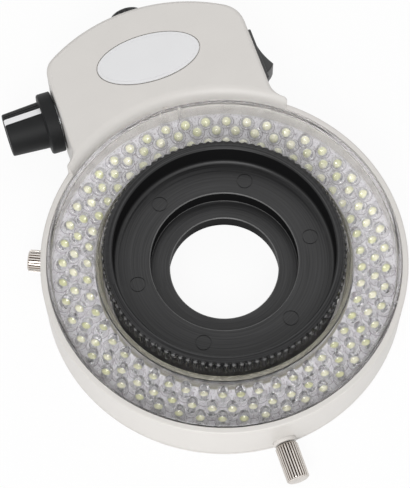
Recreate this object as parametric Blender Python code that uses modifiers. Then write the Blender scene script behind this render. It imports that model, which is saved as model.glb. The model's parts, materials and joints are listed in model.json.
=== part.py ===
"""LED ring light for a stereo microscope, with its adapter ring and three thumb screws.

The lamp lies on its back plate with the lamps facing up. The origin is the centre of the
mounting bore on the plane that the back plate rests on. The control box points along +Y.
"""

import math

import bmesh
import bpy
from mathutils import Matrix, Vector

MM = 0.001
FULL_TURN = 360.0

# Fits shared by every piece
GAP = 0.3 * MM
OVERRUN = 2.0 * MM
MERGE = 0.01 * MM

# Facets round a full turn
RING_STEPS = 64
BORE_STEPS = 54
BOSS_STEPS = 14
SMALL_STEPS = 12
KNOB_STEPS = 28
NUT_STEPS = 18
FILLET_STEPS = 3
CORNER_STEPS = 4
BACK_STEPS = 8
LABEL_STEPS = 32
LAMP_STEPS = 6
HEX_SIDES = 6
HEX_HALF_ANGLE = 30.0
SMOOTH_ANGLE = 35.0
ROUND_ANGLE = 40.0
FLAT_ANGLE = 0.5
ROUND_PROFILE = 0.5
CAP_TILT = 0.99
WALL_TILT = 0.5

# Ring case
RIM_RADIUS = 47.0 * MM
RING_HEIGHT = 18.0 * MM
RIM_WALL = 1.5 * MM
RIM_ROUND = 0.5 * MM
FOOT_FILLET = 1.0 * MM
SHOULDER_WIDTH = 1.5 * MM
SHOULDER_HEIGHT = 9.2 * MM
PLATE_THICKNESS = 1.8 * MM

# Control box, a block that grows out of the ring
BOX_DEPTH = 28.5 * MM
BOX_LEFT = 28.0 * MM
BOX_RIGHT = 27.0 * MM
BOX_RISE = 3.0 * MM
BOX_FLOOR_STEP = 0.1 * MM
BOX_BACK_ARC = 46.0 * MM
LEFT_CORNER = 6.0 * MM
RIGHT_CORNER = 7.5 * MM
BOX_FLARE = 6.0 * MM
BOX_WALL = 2.0 * MM
BOX_EDGE = 1.2 * MM
BROW_LEAN = 8.0
FLARE_PROUD = 0.8 * MM
NOSE_ROUND = 1.4 * MM
CAVITY_FRONT_WEB = 2.0 * MM

# Mounting bore and the sleeve round it
BORE_RADIUS = 30.5 * MM
SLEEVE_WALL = 3.0 * MM

# Board with its three rings of lamps
BOARD_THICKNESS = 1.2 * MM
BOARD_BORE_STEP = 0.9 * MM
LAMPS_PER_ROW = 48
LAMP_TILT = 20.0
LAMP_RADIUS = 1.55 * MM
LAMP_LENGTH = 4.9 * MM
LAMP_DOME = 1.0 * MM
LAMP_TAPER_SHARE = 0.88
OUTER_ROW_MARGIN = 2.9 * MM
INNER_ROW_MARGIN = 4.6 * MM
MIDDLE_ROW_SHARE = 0.56
ROW_START = 3.0

# Clear cover over the lamps
COVER_STEP = 1.5 * MM
COVER_SKIN = 1.2 * MM
COVER_SKIRT = 0.9 * MM
COVER_ROUND = 0.9 * MM
COVER_PROUD = 0.2 * MM
TAB_HALF_WIDTH = 2.8 * MM
TAB_SLIT = 0.5 * MM
TAB_LENGTH = 4.6 * MM
CATCH_DEPTH = 0.5 * MM
CATCH_HEIGHT = 1.4 * MM
TAB_COUNT = 3
TAB_START = 90.0

# Adapter ring that the screws clamp
FLANGE_OVERHANG = 1.0 * MM
FLANGE_HEIGHT = 5.2 * MM
FLANGE_SINK = 0.3 * MM
ADAPTER_FOOT = 1.5 * MM
KNURL_TEETH = 100
KNURL_DEPTH = 0.7 * MM
KNURL_TAPER = 0.8 * MM
DISH_RADIUS = 28.4 * MM
DISH_DEPTH = 7.1 * MM
DISH_FILLET = 1.2 * MM
LEDGE_RADIUS = 19.0 * MM
LEDGE_DEPTH = 4.8 * MM
EYE_RADIUS = 13.85 * MM
EYE_FLARE = 0.45 * MM
EYE_LAND = 5.0 * MM
HUB_WALL = 2.9 * MM
ADAPTER_WALL = 3.0 * MM
DISH_SKIN = 3.0 * MM
EJECTOR_RADIUS = 2.0 * MM
EJECTOR_CIRCLE = 23.05 * MM
EJECTOR_DEPTH = 0.2 * MM
EJECTOR_COUNT = 6
EJECTOR_START = -2.0

# Thumb screws, their collars and bushes and the places round the ring
SCREW_HEIGHT = 4.5 * MM
SHAFT_RADIUS = 1.25 * MM
SHAFT_LENGTH = 11.3 * MM
HEAD_RADIUS = 2.95 * MM
HEAD_LENGTH = 9.8 * MM
HEAD_CHAMFER = 0.6 * MM
HEAD_GROOVES = 18
GROOVE_DEPTH = 0.25 * MM
COLLAR_THICKNESS = 1.2 * MM
BUSH_WALL = 0.75 * MM
BUSH_LENGTH = 7.2 * MM
BOSS_WALL = 0.9 * MM
FRONT_BACKED_OFF = 6.4 * MM
SCREW_PLACES = (("front", 270.0, FRONT_BACKED_OFF), ("left", 156.0, 0.0), ("right", 38.0, 0.0))

# Screws that hold the back plate
PLATE_SCREW_RADIUS = 1.2 * MM
PLATE_SCREW_LENGTH = 6.6 * MM
PLATE_HEAD_RADIUS = 2.4 * MM
PLATE_HEAD_HEIGHT = 1.0 * MM
DRIVE_SLOT = 0.6 * MM
DRIVE_SLOT_SHARE = 0.45
POST_RADIUS = 3.0 * MM
POST_BITE = 0.5 * MM
RING_POST_ANGLES = (210.0, 330.0)
FRONT_POST_X = 11.0 * MM
REAR_POST_X = 21.0 * MM

# Dimmer knob and its potentiometer on the left wall
KNOB_SETBACK = 8.05 * MM
KNOB_HEIGHT = 10.0 * MM
KNOB_STANDOFF = 0.5 * MM
SKIRT_RADIUS = 8.25 * MM
SKIRT_WIDTH = 3.7 * MM
SKIRT_WALL = 1.25 * MM
BARREL_BASE_RADIUS = 6.35 * MM
BARREL_TIP_RADIUS = 5.75 * MM
BARREL_LENGTH = 10.2 * MM
KNOB_ROUND = 0.5 * MM
POINTER_WIDTH = 1.8 * MM
POINTER_DEPTH = 1.0 * MM
POINTER_ANGLE = 11.0
DIAL_SHAFT_RADIUS = 3.0 * MM
DIAL_SHAFT_END = 2.0 * MM
NECK_WALL = 1.2 * MM
CAN_RADIUS = 7.0 * MM
CAN_DEPTH = 9.0 * MM
WASHER_THICKNESS = 0.6 * MM
NUT_THICKNESS = 1.8 * MM
NUT_ACROSS_FLATS = 11.0 * MM

# Rocker switch on the right wall
SWITCH_SETBACK = 7.15 * MM
SWITCH_HEIGHT = 11.0 * MM
BEZEL_HALF_LENGTH = 7.75 * MM
BEZEL_HALF_HEIGHT = 5.2 * MM
BEZEL_THICKNESS = 1.2 * MM
BEZEL_ROUND_SHARE = 0.4
ROCKER_HALF_LENGTH = 4.44 * MM
ROCKER_HALF_HEIGHT = 3.2 * MM
ROCKER_TIP = 3.66 * MM
ROCKER_DIP = 0.52 * MM
PIVOT_DEPTH = 2.0 * MM
ROCKER_SLOPE = 17.0
ROCKER_UNDERCUT = 25.0
SWITCH_WALL = 0.9 * MM
SWITCH_DEPTH = 10.5 * MM
TRUNNION_RADIUS = 0.9 * MM
TERMINAL_WIDTH = 4.0 * MM
TERMINAL_THICKNESS = 0.8 * MM
TERMINAL_LENGTH = 4.0 * MM
TERMINAL_SPREAD = 2.0 * MM

# Cord gland in the back wall
GLAND_X = -1.4 * MM
GLAND_HEIGHT = 9.8 * MM
GLAND_RADIUS = 4.8 * MM
GLAND_REACH = 4.4 * MM
GLAND_ROUND = 1.0 * MM
GLAND_NECK_RADIUS = 3.7 * MM
GLAND_BORE_RADIUS = 2.4 * MM
GLAND_NUT_THICKNESS = 2.6 * MM
GLAND_NUT_FLATS = 10.0 * MM

# Oval plate on the box
LABEL_X = -1.0 * MM
LABEL_SETBACK = 12.6 * MM
LABEL_HALF_LENGTH = 14.0 * MM
LABEL_HALF_WIDTH = 6.9 * MM
LABEL_THICKNESS = 0.35 * MM
LABEL_RECESS = 0.5 * MM

# Driver circuit in the box
DRIVER_HALF_WIDTH = 13.0 * MM
DRIVER_THICKNESS = 1.6 * MM
DRIVER_SETBACK = 5.2 * MM
DRIVER_BACK_ROOM = 7.5 * MM
STANDOFF_RADIUS = 1.6 * MM
STANDOFF_HEIGHT = 2.4 * MM
STANDOFF_INSET = 2.4 * MM
COIL_WIDTH = 11.0 * MM
COIL_DEPTH = 8.5 * MM
COIL_HEIGHT = 8.6 * MM
CORE_WIDTH = 4.0 * MM
CORE_REACH = 1.2 * MM
FILM_CAP_WIDTH = 5.0 * MM
FILM_CAP_DEPTH = 8.0 * MM
FILM_CAP_HEIGHT = 6.5 * MM
CAN_CAP_RADIUS = 2.5 * MM
CAN_CAP_HEIGHT = 7.5 * MM
PLUG_WIDTH = 6.0 * MM
PLUG_DEPTH = 2.8 * MM
PLUG_HEIGHT = 3.4 * MM
LEAD_RADIUS = 0.55 * MM
LEAD_SPREAD = 1.3 * MM
LEAD_NOTCH_HALF = 3.0 * MM
ROUTE_SHARE = 0.4
ROUTE_STEPS = 3

# Sizes that follow from the ones above
COVER_OUTER = RIM_RADIUS - RIM_WALL - GAP
TROUGH_RADIUS = RIM_RADIUS - RIM_WALL
SHOULDER_RADIUS = TROUGH_RADIUS - SHOULDER_WIDTH
PARTING = PLATE_THICKNESS + GAP
BOX_TOP = RING_HEIGHT + BOX_RISE
BOX_BACK = RIM_RADIUS + BOX_DEPTH
BOX_ARC_CENTRE = BOX_BACK - BOX_BACK_ARC
CAVITY_FRONT = TROUGH_RADIUS + CAVITY_FRONT_WEB
CAVITY_TOP = BOX_TOP - BOX_WALL
BOSS_RADIUS = SHAFT_RADIUS + GAP + BUSH_WALL + GAP + BOSS_WALL
BOARD_BOTTOM = SHOULDER_HEIGHT + GAP
BOARD_TOP = BOARD_BOTTOM + BOARD_THICKNESS
BOARD_BORE = BORE_RADIUS + BOARD_BORE_STEP
COVER_BORE = BORE_RADIUS + COVER_STEP
COVER_TOP = RING_HEIGHT + COVER_PROUD
COVER_FOOT = BOARD_TOP + GAP
OUTER_ROW = COVER_OUTER - OUTER_ROW_MARGIN
INNER_ROW = BOARD_BORE + INNER_ROW_MARGIN
MIDDLE_ROW = INNER_ROW + (OUTER_ROW - INNER_ROW) * MIDDLE_ROW_SHARE
LAMP_PITCH = FULL_TURN / LAMPS_PER_ROW
LAMP_ROWS = ((OUTER_ROW, ROW_START), (MIDDLE_ROW, ROW_START + LAMP_PITCH / 2), (INNER_ROW, ROW_START))
ADAPTER_RADIUS = BORE_RADIUS - GAP
FLANGE_RADIUS = ADAPTER_RADIUS + FLANGE_OVERHANG
FLANGE_BOTTOM = RING_HEIGHT - FLANGE_SINK
ADAPTER_TOP = FLANGE_BOTTOM + FLANGE_HEIGHT
DISH_FLOOR = ADAPTER_TOP - DISH_DEPTH
LEDGE_FLOOR = DISH_FLOOR - LEDGE_DEPTH
HUB_BOTTOM = LEDGE_FLOOR - EYE_LAND
HUB_RADIUS = LEDGE_RADIUS + HUB_WALL
POCKET_RADIUS = ADAPTER_RADIUS - ADAPTER_WALL
BUSH_RADIUS = SHAFT_RADIUS + GAP + BUSH_WALL
BUSH_START = BORE_RADIUS + GAP
BUSH_END = BUSH_START + BUSH_LENGTH
HEAD_HOLE_RADIUS = HEAD_RADIUS + GAP
HEX_SPREAD = 1.0 / math.cos(math.radians(HEX_HALF_ANGLE))
KNOB_Y = RIM_RADIUS + KNOB_SETBACK
NECK_RADIUS = DIAL_SHAFT_RADIUS + GAP + NECK_WALL
SWITCH_Y = RIM_RADIUS + SWITCH_SETBACK
BEZEL_FACE = BOX_RIGHT + GAP + BEZEL_THICKNESS
PIVOT_X = BEZEL_FACE - PIVOT_DEPTH
ROCKER_SWING = math.hypot(ROCKER_HALF_LENGTH, ROCKER_TIP)
WELL_HALF_LENGTH = ROCKER_SWING + GAP
WELL_HALF_HEIGHT = ROCKER_HALF_HEIGHT + GAP
WELL_FLOOR = PIVOT_X - ROCKER_SWING * math.sin(math.radians(ROCKER_UNDERCUT + ROCKER_SLOPE)) - GAP
SWITCH_END = BOX_RIGHT - SWITCH_DEPTH
GLAND_SAG = BOX_BACK_ARC - math.sqrt(BOX_BACK_ARC ** 2 - (abs(GLAND_X) + GLAND_NUT_FLATS / 2) ** 2)
LABEL_Y = RIM_RADIUS + LABEL_SETBACK
DRIVER_BOTTOM = PLATE_THICKNESS + STANDOFF_HEIGHT + GAP
DRIVER_TOP = DRIVER_BOTTOM + DRIVER_THICKNESS
DRIVER_FRONT = RIM_RADIUS + DRIVER_SETBACK
DRIVER_REAR = BOX_BACK - DRIVER_BACK_ROOM
PART_SEAT = DRIVER_TOP + GAP

# Finishes: colour, roughness, metallic
FINISHES = {
    "case_plastic": ((0.78, 0.75, 0.71, 1.0), 0.45, 0.0),
    "black_plastic": ((0.03, 0.03, 0.032, 1.0), 0.5, 0.0),
    "clear_plastic": ((0.85, 0.87, 0.86, 1.0), 0.1, 0.0),
    "lamp_board": ((0.55, 0.54, 0.58, 1.0), 0.35, 0.0),
    "nickel": ((0.62, 0.58, 0.54, 1.0), 0.3, 1.0),
    "brass": ((0.72, 0.55, 0.28, 1.0), 0.35, 1.0),
    "steel": ((0.5, 0.5, 0.5, 1.0), 0.35, 1.0),
    "silver_label": ((0.8, 0.8, 0.81, 1.0), 0.3, 0.6),
    "white_plastic": ((0.85, 0.85, 0.84, 1.0), 0.4, 0.0),
    "circuit_board": ((0.05, 0.22, 0.12, 1.0), 0.45, 0.0),
    "copper_winding": ((0.55, 0.4, 0.12, 1.0), 0.4, 0.0),
    "blue_case": ((0.08, 0.2, 0.45, 1.0), 0.4, 0.0),
    "red_wire": ((0.6, 0.04, 0.03, 1.0), 0.5, 0.0),
}


def clear_scene():
    """Remove every object of the open scene."""
    for item in list(bpy.data.objects):
        bpy.data.objects.remove(item, do_unlink=True)


def make_collection(name, parent):
    """Add a collection under another one."""
    collection = bpy.data.collections.new(name)
    parent.children.link(collection)
    return collection


def make_finish(name):
    """Return the Principled material of a named finish."""
    found = bpy.data.materials.get(name)
    if found:
        return found
    colour, roughness, metallic = FINISHES[name]
    material = bpy.data.materials.new(name)
    material.use_nodes = True
    shader = material.node_tree.nodes["Principled BSDF"]
    shader.inputs["Base Color"].default_value = colour
    shader.inputs["Roughness"].default_value = roughness
    shader.inputs["Metallic"].default_value = metallic
    material.diffuse_color = colour
    return material


def link(name, mesh, collection, finish=None):
    """Wrap a mesh in an object, smooth its round faces and give it a finish of its own."""
    item = bpy.data.objects.new(name, mesh)
    collection.objects.link(item)
    if finish:
        mesh.materials.clear()
        mesh.materials.append(make_finish(finish).copy())
    mesh.shade_smooth()
    mesh.set_sharp_from_angle(angle=math.radians(SMOOTH_ANGLE))
    return item


def as_cutter(item):
    """Mark an object as a tool that is not part of the lamp."""
    item.hide_render = True
    item.display_type = "WIRE"
    return item


def arc(centre, radius, start, end, count):
    """Return count + 1 points on an arc, angles in degrees."""
    points = []
    for index in range(count + 1):
        angle = math.radians(start + (end - start) * index / count)
        points.append((centre[0] + radius * math.cos(angle), centre[1] + radius * math.sin(angle)))
    return points


def turned(name, profile, steps, collection, finish=None, closed=True):
    """Turn a profile of (radius, height) points round Z, its outer side running down."""
    mesh = bpy.data.meshes.new(name)
    corners = [(radius, 0.0, height) for radius, height in profile]
    edges = [(index, index + 1) for index in range(len(corners) - 1)]
    if closed:
        edges.append((len(corners) - 1, 0))
    mesh.from_pydata(corners, edges, [])
    item = bpy.data.objects.new(name, mesh)
    collection.objects.link(item)
    screw = item.modifiers.new("turn", "SCREW")
    screw.steps = steps
    screw.render_steps = steps
    screw.use_merge_vertices = True
    screw.merge_threshold = MERGE
    return settle(item, collection, finish)


def settle(item, collection, finish=None):
    """Replace an object by a plain mesh of its evaluated shape, with its caps welded."""
    bpy.context.view_layer.update()
    graph = bpy.context.evaluated_depsgraph_get()
    mesh = bpy.data.meshes.new_from_object(item.evaluated_get(graph))
    name = item.name
    place = item.matrix_world.copy()
    bpy.data.objects.remove(item, do_unlink=True)
    shape = bmesh.new()
    shape.from_mesh(mesh)
    bmesh.ops.remove_doubles(shape, verts=shape.verts, dist=MERGE)
    bmesh.ops.recalc_face_normals(shape, faces=shape.faces)
    shape.to_mesh(mesh)
    shape.free()
    solid = link(name, mesh, collection, finish)
    solid.name = name
    solid.matrix_world = place
    return solid


def plate(name, outline, low, high, collection, finish=None):
    """Extrude a flat outline in the XY plane from one height to another."""
    curve = bpy.data.curves.new(name, "CURVE")
    curve.dimensions = "2D"
    curve.fill_mode = "BOTH"
    curve.extrude = (high - low) / 2
    spline = curve.splines.new("POLY")
    spline.points.add(len(outline) - 1)
    for point, (x, y) in zip(spline.points, outline):
        point.co = (x, y, 0.0, 1.0)
    spline.use_cyclic_u = True
    item = bpy.data.objects.new(name, curve)
    item.location.z = (high + low) / 2
    collection.objects.link(item)
    return settle(item, collection, finish)


def block(name, low, high, collection, finish=None):
    """Make a box between two opposite corners, with its origin at the centre."""
    shape = bmesh.new()
    bmesh.ops.create_cube(shape, size=1.0)
    size = [top - bottom for bottom, top in zip(low, high)]
    bmesh.ops.scale(shape, vec=size, verts=shape.verts)
    mesh = bpy.data.meshes.new(name)
    shape.to_mesh(mesh)
    shape.free()
    item = link(name, mesh, collection, finish)
    item.location = [(top + bottom) / 2 for bottom, top in zip(low, high)]
    return item


def rod(name, start, end, radii, steps, collection, finish=None):
    """Make a cylinder or cone from one point to another, with a radius at each end."""
    start, end = Vector(start), Vector(end)
    shape = bmesh.new()
    bmesh.ops.create_cone(shape, cap_ends=True, segments=steps, radius1=radii[0],
                          radius2=radii[1], depth=(end - start).length)
    mesh = bpy.data.meshes.new(name)
    shape.to_mesh(mesh)
    shape.free()
    item = link(name, mesh, collection, finish)
    item.location = (start + end) / 2
    item.rotation_euler = (end - start).to_track_quat("Z", "Y").to_euler()
    return item


def star_ring(name, teeth, tip, depth, levels, collection):
    """Stack toothed outlines, each level a height with a share of the tooth that is left."""
    shape = bmesh.new()
    rows = []
    for height, share in levels:
        made = bmesh.ops.create_circle(shape, cap_ends=False, segments=2 * teeth, radius=tip)
        row = made["verts"]
        for index, corner in enumerate(row):
            angle = math.atan2(corner.co.y, corner.co.x)
            reach = tip - depth if index % 2 else tip - depth * (1.0 - share)
            corner.co = (reach * math.cos(angle), reach * math.sin(angle), height)
        rows.append(row)
    for lower, upper in zip(rows, rows[1:]):
        for index in range(2 * teeth):
            after = (index + 1) % (2 * teeth)
            shape.faces.new((lower[index], lower[after], upper[after], upper[index]))
    shape.faces.new(list(reversed(rows[0])))
    shape.faces.new(rows[-1])
    bmesh.ops.recalc_face_normals(shape, faces=shape.faces)
    mesh = bpy.data.meshes.new(name)
    shape.to_mesh(mesh)
    shape.free()
    return link(name, mesh, collection)


def boolean(item, tool, operation):
    """Add an exact Boolean with an object or with a collection of them."""
    step = item.modifiers.new(operation.lower(), "BOOLEAN")
    step.operation = operation
    step.solver = "EXACT"
    step.use_self = True
    if isinstance(tool, bpy.types.Collection):
        step.operand_type = "COLLECTION"
        step.collection = tool
        for member in tool.objects:
            as_cutter(member)
    else:
        step.object = as_cutter(tool)
    return item


def tool_group(name, cutters):
    """Return a new group of tools inside the cutters' collection."""
    return make_collection(name, cutters)


def around(angle, radius, height, side=0.0):
    """Return the point at an angle, a radius and a height, moved sideways along the tangent."""
    turn = Matrix.Rotation(math.radians(angle), 4, "Z")
    return turn @ Vector((radius, side, height))


def box_half(wall, corner, inset):
    """Return a half outline of the box, from its side wall round the corner to the back's middle."""
    corner -= inset
    back_arc = BOX_BACK_ARC - inset
    corner_x = wall - inset - corner
    corner_y = BOX_ARC_CENTRE + math.sqrt((back_arc - corner) ** 2 - corner_x ** 2)
    meet = math.degrees(math.atan2(corner_y - BOX_ARC_CENTRE, corner_x))
    side = arc((corner_x, corner_y), corner, 0.0, meet, CORNER_STEPS)
    return side + arc((0.0, BOX_ARC_CENTRE), back_arc, meet, 90.0, BACK_STEPS // 2)[1:-1]


def box_outline(front, inset=0.0):
    """Return the box's outline set in by a wall, its front points from a function of the side."""
    right = front(BOX_RIGHT) + box_half(BOX_RIGHT, RIGHT_CORNER, inset)
    left = front(BOX_LEFT) + box_half(BOX_LEFT, LEFT_CORNER, inset)
    return right + [(0.0, BOX_BACK - inset)] + [(-x, y) for x, y in reversed(left)]


def flare_points(wall):
    """Return the points of a flare, from inside the ring round its blunt nose to the side wall."""
    reach = RIM_RADIUS + FLARE_PROUD
    flare_x = wall + BOX_FLARE
    flare_y = math.sqrt((reach + BOX_FLARE) ** 2 - flare_x ** 2)
    spoke = math.degrees(math.atan2(flare_y, flare_x))
    out_x, out_y = math.cos(math.radians(spoke)), math.sin(math.radians(spoke))
    nose_centre = ((reach - NOSE_ROUND) * out_x, (reach - NOSE_ROUND) * out_y)
    nose = arc(nose_centre, NOSE_ROUND, spoke - 90.0, spoke, FILLET_STEPS)[:-1]
    flare = arc((flare_x, flare_y), BOX_FLARE, spoke + FULL_TURN / 2, 180.0, CORNER_STEPS)
    root = (BORE_RADIUS * out_x + NOSE_ROUND * out_y, BORE_RADIUS * out_y - NOSE_ROUND * out_x)
    return [root] + nose + flare


def outer_box(cutters):
    """Make the solid block of the control box, with flares into the ring."""
    solid = plate("box_form", box_outline(flare_points), BOX_FLOOR_STEP, BOX_TOP, cutters)
    shape = bmesh.new()
    shape.from_mesh(solid.data)
    bmesh.ops.dissolve_limit(shape, angle_limit=math.radians(FLAT_ANGLE), verts=shape.verts,
                             edges=shape.edges)
    for side, fillet in ((1.0, BOX_EDGE), (-1.0, FOOT_FILLET)):
        rim = [edge for edge in shape.edges if is_cap_edge(edge, side)]
        bmesh.ops.bevel(shape, geom=rim, offset=fillet, offset_type="OFFSET", segments=FILLET_STEPS,
                        profile=ROUND_PROFILE, affect="EDGES", clamp_overlap=False)
    shape.to_mesh(solid.data)
    shape.free()
    return solid


def is_cap_edge(edge, side):
    """Tell whether an edge lies between the top or bottom cap and a wall."""
    if len(edge.link_faces) != 2:
        return False
    tilts = sorted(face.normal.z * side for face in edge.link_faces)
    return tilts[1] > CAP_TILT and tilts[0] < WALL_TILT


def outer_form(cutters):
    """Join the ring's disc and the control box into the case's outer form."""
    profile = [(0.0, RING_HEIGHT)]
    profile += arc((RIM_RADIUS - RIM_ROUND, RING_HEIGHT - RIM_ROUND), RIM_ROUND, 90.0, 0.0, 1)
    profile += arc((RIM_RADIUS - FOOT_FILLET, FOOT_FILLET), FOOT_FILLET, 0.0, -90.0, FILLET_STEPS)
    profile.append((0.0, 0.0))
    disc = turned("ring_form", profile, RING_STEPS, cutters, closed=False)
    boolean(disc, outer_box(cutters), "UNION")
    return as_cutter(settle(disc, cutters))


def wide_slab(name, low, high, collection):
    """Make a slab wider than the whole case between two heights."""
    reach = BOX_BACK + OVERRUN
    return block(name, (-reach, -reach, low), (reach, reach, high), collection)


def plate_screw_places():
    """Return the six places (x, y) where the back plate is screwed on."""
    ring_reach = SHOULDER_RADIUS - POST_RADIUS + POST_BITE
    places = [tuple(around(angle, ring_reach, 0.0))[:2] for angle in RING_POST_ANGLES]
    front_reach = CAVITY_FRONT + POST_RADIUS - POST_BITE
    front_y = math.sqrt(front_reach ** 2 - FRONT_POST_X ** 2)
    rear_reach = BOX_BACK_ARC - BOX_WALL - POST_RADIUS + POST_BITE
    rear_y = BOX_ARC_CENTRE + math.sqrt(rear_reach ** 2 - REAR_POST_X ** 2)
    for x, y in ((FRONT_POST_X, front_y), (REAR_POST_X, rear_y)):
        places += [(-x, y), (x, y)]
    return places


def trough_tool(collection):
    """Turn the tool that opens the ring and rounds the box's front edge along it."""
    top = BOX_TOP + OVERRUN
    brow = arc((TROUGH_RADIUS + BOX_RISE, RING_HEIGHT), BOX_RISE, 90.0 + BROW_LEAN, 180.0,
               FILLET_STEPS + 1)
    slope = math.tan(math.radians(BROW_LEAN))
    lip = (brow[0][0] + (top - brow[0][1]) / slope, top)
    profile = [(0.0, top), lip] + brow
    profile += [(TROUGH_RADIUS, SHOULDER_HEIGHT), (SHOULDER_RADIUS, SHOULDER_HEIGHT)]
    profile += [(SHOULDER_RADIUS, -OVERRUN), (0.0, -OVERRUN)]
    return turned("trough", profile, RING_STEPS, collection, closed=False)


def cavity_tool(collection):
    """Make the tool that hollows the control box."""
    outline = [(0.0, CAVITY_FRONT)] + box_outline(cavity_front, BOX_WALL)
    return plate("cavity", outline, -OVERRUN, CAVITY_TOP, collection)


def cavity_front(wall):
    """Return the points along the ring's web, from beside the middle to a side wall."""
    edge = math.degrees(math.acos((wall - BOX_WALL) / CAVITY_FRONT))
    return arc((0.0, 0.0), CAVITY_FRONT, 90.0, edge, CORNER_STEPS)[1:]


def oval(centre, half_length, half_width, steps):
    """Return the points of an ellipse."""
    unit = arc((0.0, 0.0), 1.0, 0.0, FULL_TURN, steps)[:-1]
    return [(centre[0] + x * half_length, centre[1] + y * half_width) for x, y in unit]


def make_housing(form, parts, cutters):
    """Cut the upper case from the outer form, with its posts, seats and openings."""
    housing = link("housing", form.data.copy(), parts, "case_plastic")
    hollow = tool_group("housing_hollow", cutters)
    wide_slab("below_parting", -OVERRUN, PARTING, hollow)
    trough_tool(hollow)
    cavity_tool(hollow)
    boolean(housing, hollow, "DIFFERENCE")
    posts = tool_group("housing_posts", cutters)
    places = plate_screw_places()
    for index, (x, y) in enumerate(places):
        top = SHOULDER_HEIGHT if index < len(RING_POST_ANGLES) else CAVITY_TOP + POST_BITE
        rod(f"post_{index + 1}", (x, y, PARTING), (x, y, top), (POST_RADIUS, POST_RADIUS),
            BOSS_STEPS, posts)
    boolean(housing, posts, "UNION")
    holes = tool_group("housing_holes", cutters)
    pilot = PLATE_SCREW_RADIUS + GAP
    for index, (x, y) in enumerate(places):
        rod(f"pilot_{index + 1}", (x, y, -OVERRUN), (x, y, GAP + PLATE_SCREW_LENGTH + GAP),
            (pilot, pilot), SMALL_STEPS, holes)
    head_holes("wall", holes)
    neck = NECK_RADIUS + GAP
    rod("dial_hole", (-BOX_LEFT - OVERRUN, KNOB_Y, KNOB_HEIGHT),
        (-BOX_LEFT + BOX_WALL + OVERRUN, KNOB_Y, KNOB_HEIGHT), (neck, neck), BOSS_STEPS, holes)
    body_length = WELL_HALF_LENGTH + SWITCH_WALL + GAP
    body_height = WELL_HALF_HEIGHT + SWITCH_WALL + GAP
    block("switch_window", (BOX_RIGHT - BOX_WALL - OVERRUN, SWITCH_Y - body_length,
                            SWITCH_HEIGHT - body_height),
          (BOX_RIGHT + OVERRUN, SWITCH_Y + body_length, SWITCH_HEIGHT + body_height), holes)
    gland = GLAND_NECK_RADIUS + GAP
    rod("gland_hole", (GLAND_X, BOX_BACK - BOX_WALL - OVERRUN, GLAND_HEIGHT),
        (GLAND_X, BOX_BACK + OVERRUN, GLAND_HEIGHT), (gland, gland), BOSS_STEPS, holes)
    recess = oval((LABEL_X, LABEL_Y), LABEL_HALF_LENGTH + GAP, LABEL_HALF_WIDTH + GAP, LABEL_STEPS)
    plate("label_recess", recess, BOX_TOP - LABEL_RECESS, BOX_TOP + OVERRUN, holes)
    block("lead_notch", (-LEAD_NOTCH_HALF, SHOULDER_RADIUS - OVERRUN, -OVERRUN),
          (LEAD_NOTCH_HALF, CAVITY_FRONT + OVERRUN, SHOULDER_HEIGHT - POST_BITE), holes)
    for index, angle in enumerate(tab_angles()):
        catch_block(f"catch_pocket_{index + 1}", angle, GAP, holes)
    boolean(housing, holes, "DIFFERENCE")
    return housing


def head_holes(name, collection):
    """Make the tools for the holes that the thumb screws' heads pass through."""
    for place, angle, _ in SCREW_PLACES:
        rod(f"head_hole_{name}_{place}", around(angle, BUSH_END + GAP, SCREW_HEIGHT),
            around(angle, RIM_RADIUS + OVERRUN, SCREW_HEIGHT),
            (HEAD_HOLE_RADIUS, HEAD_HOLE_RADIUS), BOSS_STEPS, collection)


def tab_angles():
    """Return the angles of the cover's spring tabs."""
    return [TAB_START + FULL_TURN * index / TAB_COUNT for index in range(TAB_COUNT)]


def catch_block(name, angle, clearance, collection):
    """Make the catch on a spring tab, or the pocket that it snaps into."""
    foot = COVER_FOOT + CATCH_HEIGHT / 2 - clearance
    head = foot + CATCH_HEIGHT + 2 * clearance
    reach = COVER_OUTER + CATCH_DEPTH + clearance
    half = TAB_HALF_WIDTH - TAB_SLIT + clearance
    item = block(name, (COVER_OUTER - COVER_SKIRT / 2, -half, foot), (reach, half, head), collection)
    return turn_about_z(item, angle)


def turn_about_z(item, angle):
    """Swing an object round the ring's axis by an angle in degrees."""
    turn = Matrix.Rotation(math.radians(angle), 4, "Z")
    item.matrix_world = turn @ Matrix.Translation(item.location)
    return item


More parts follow.
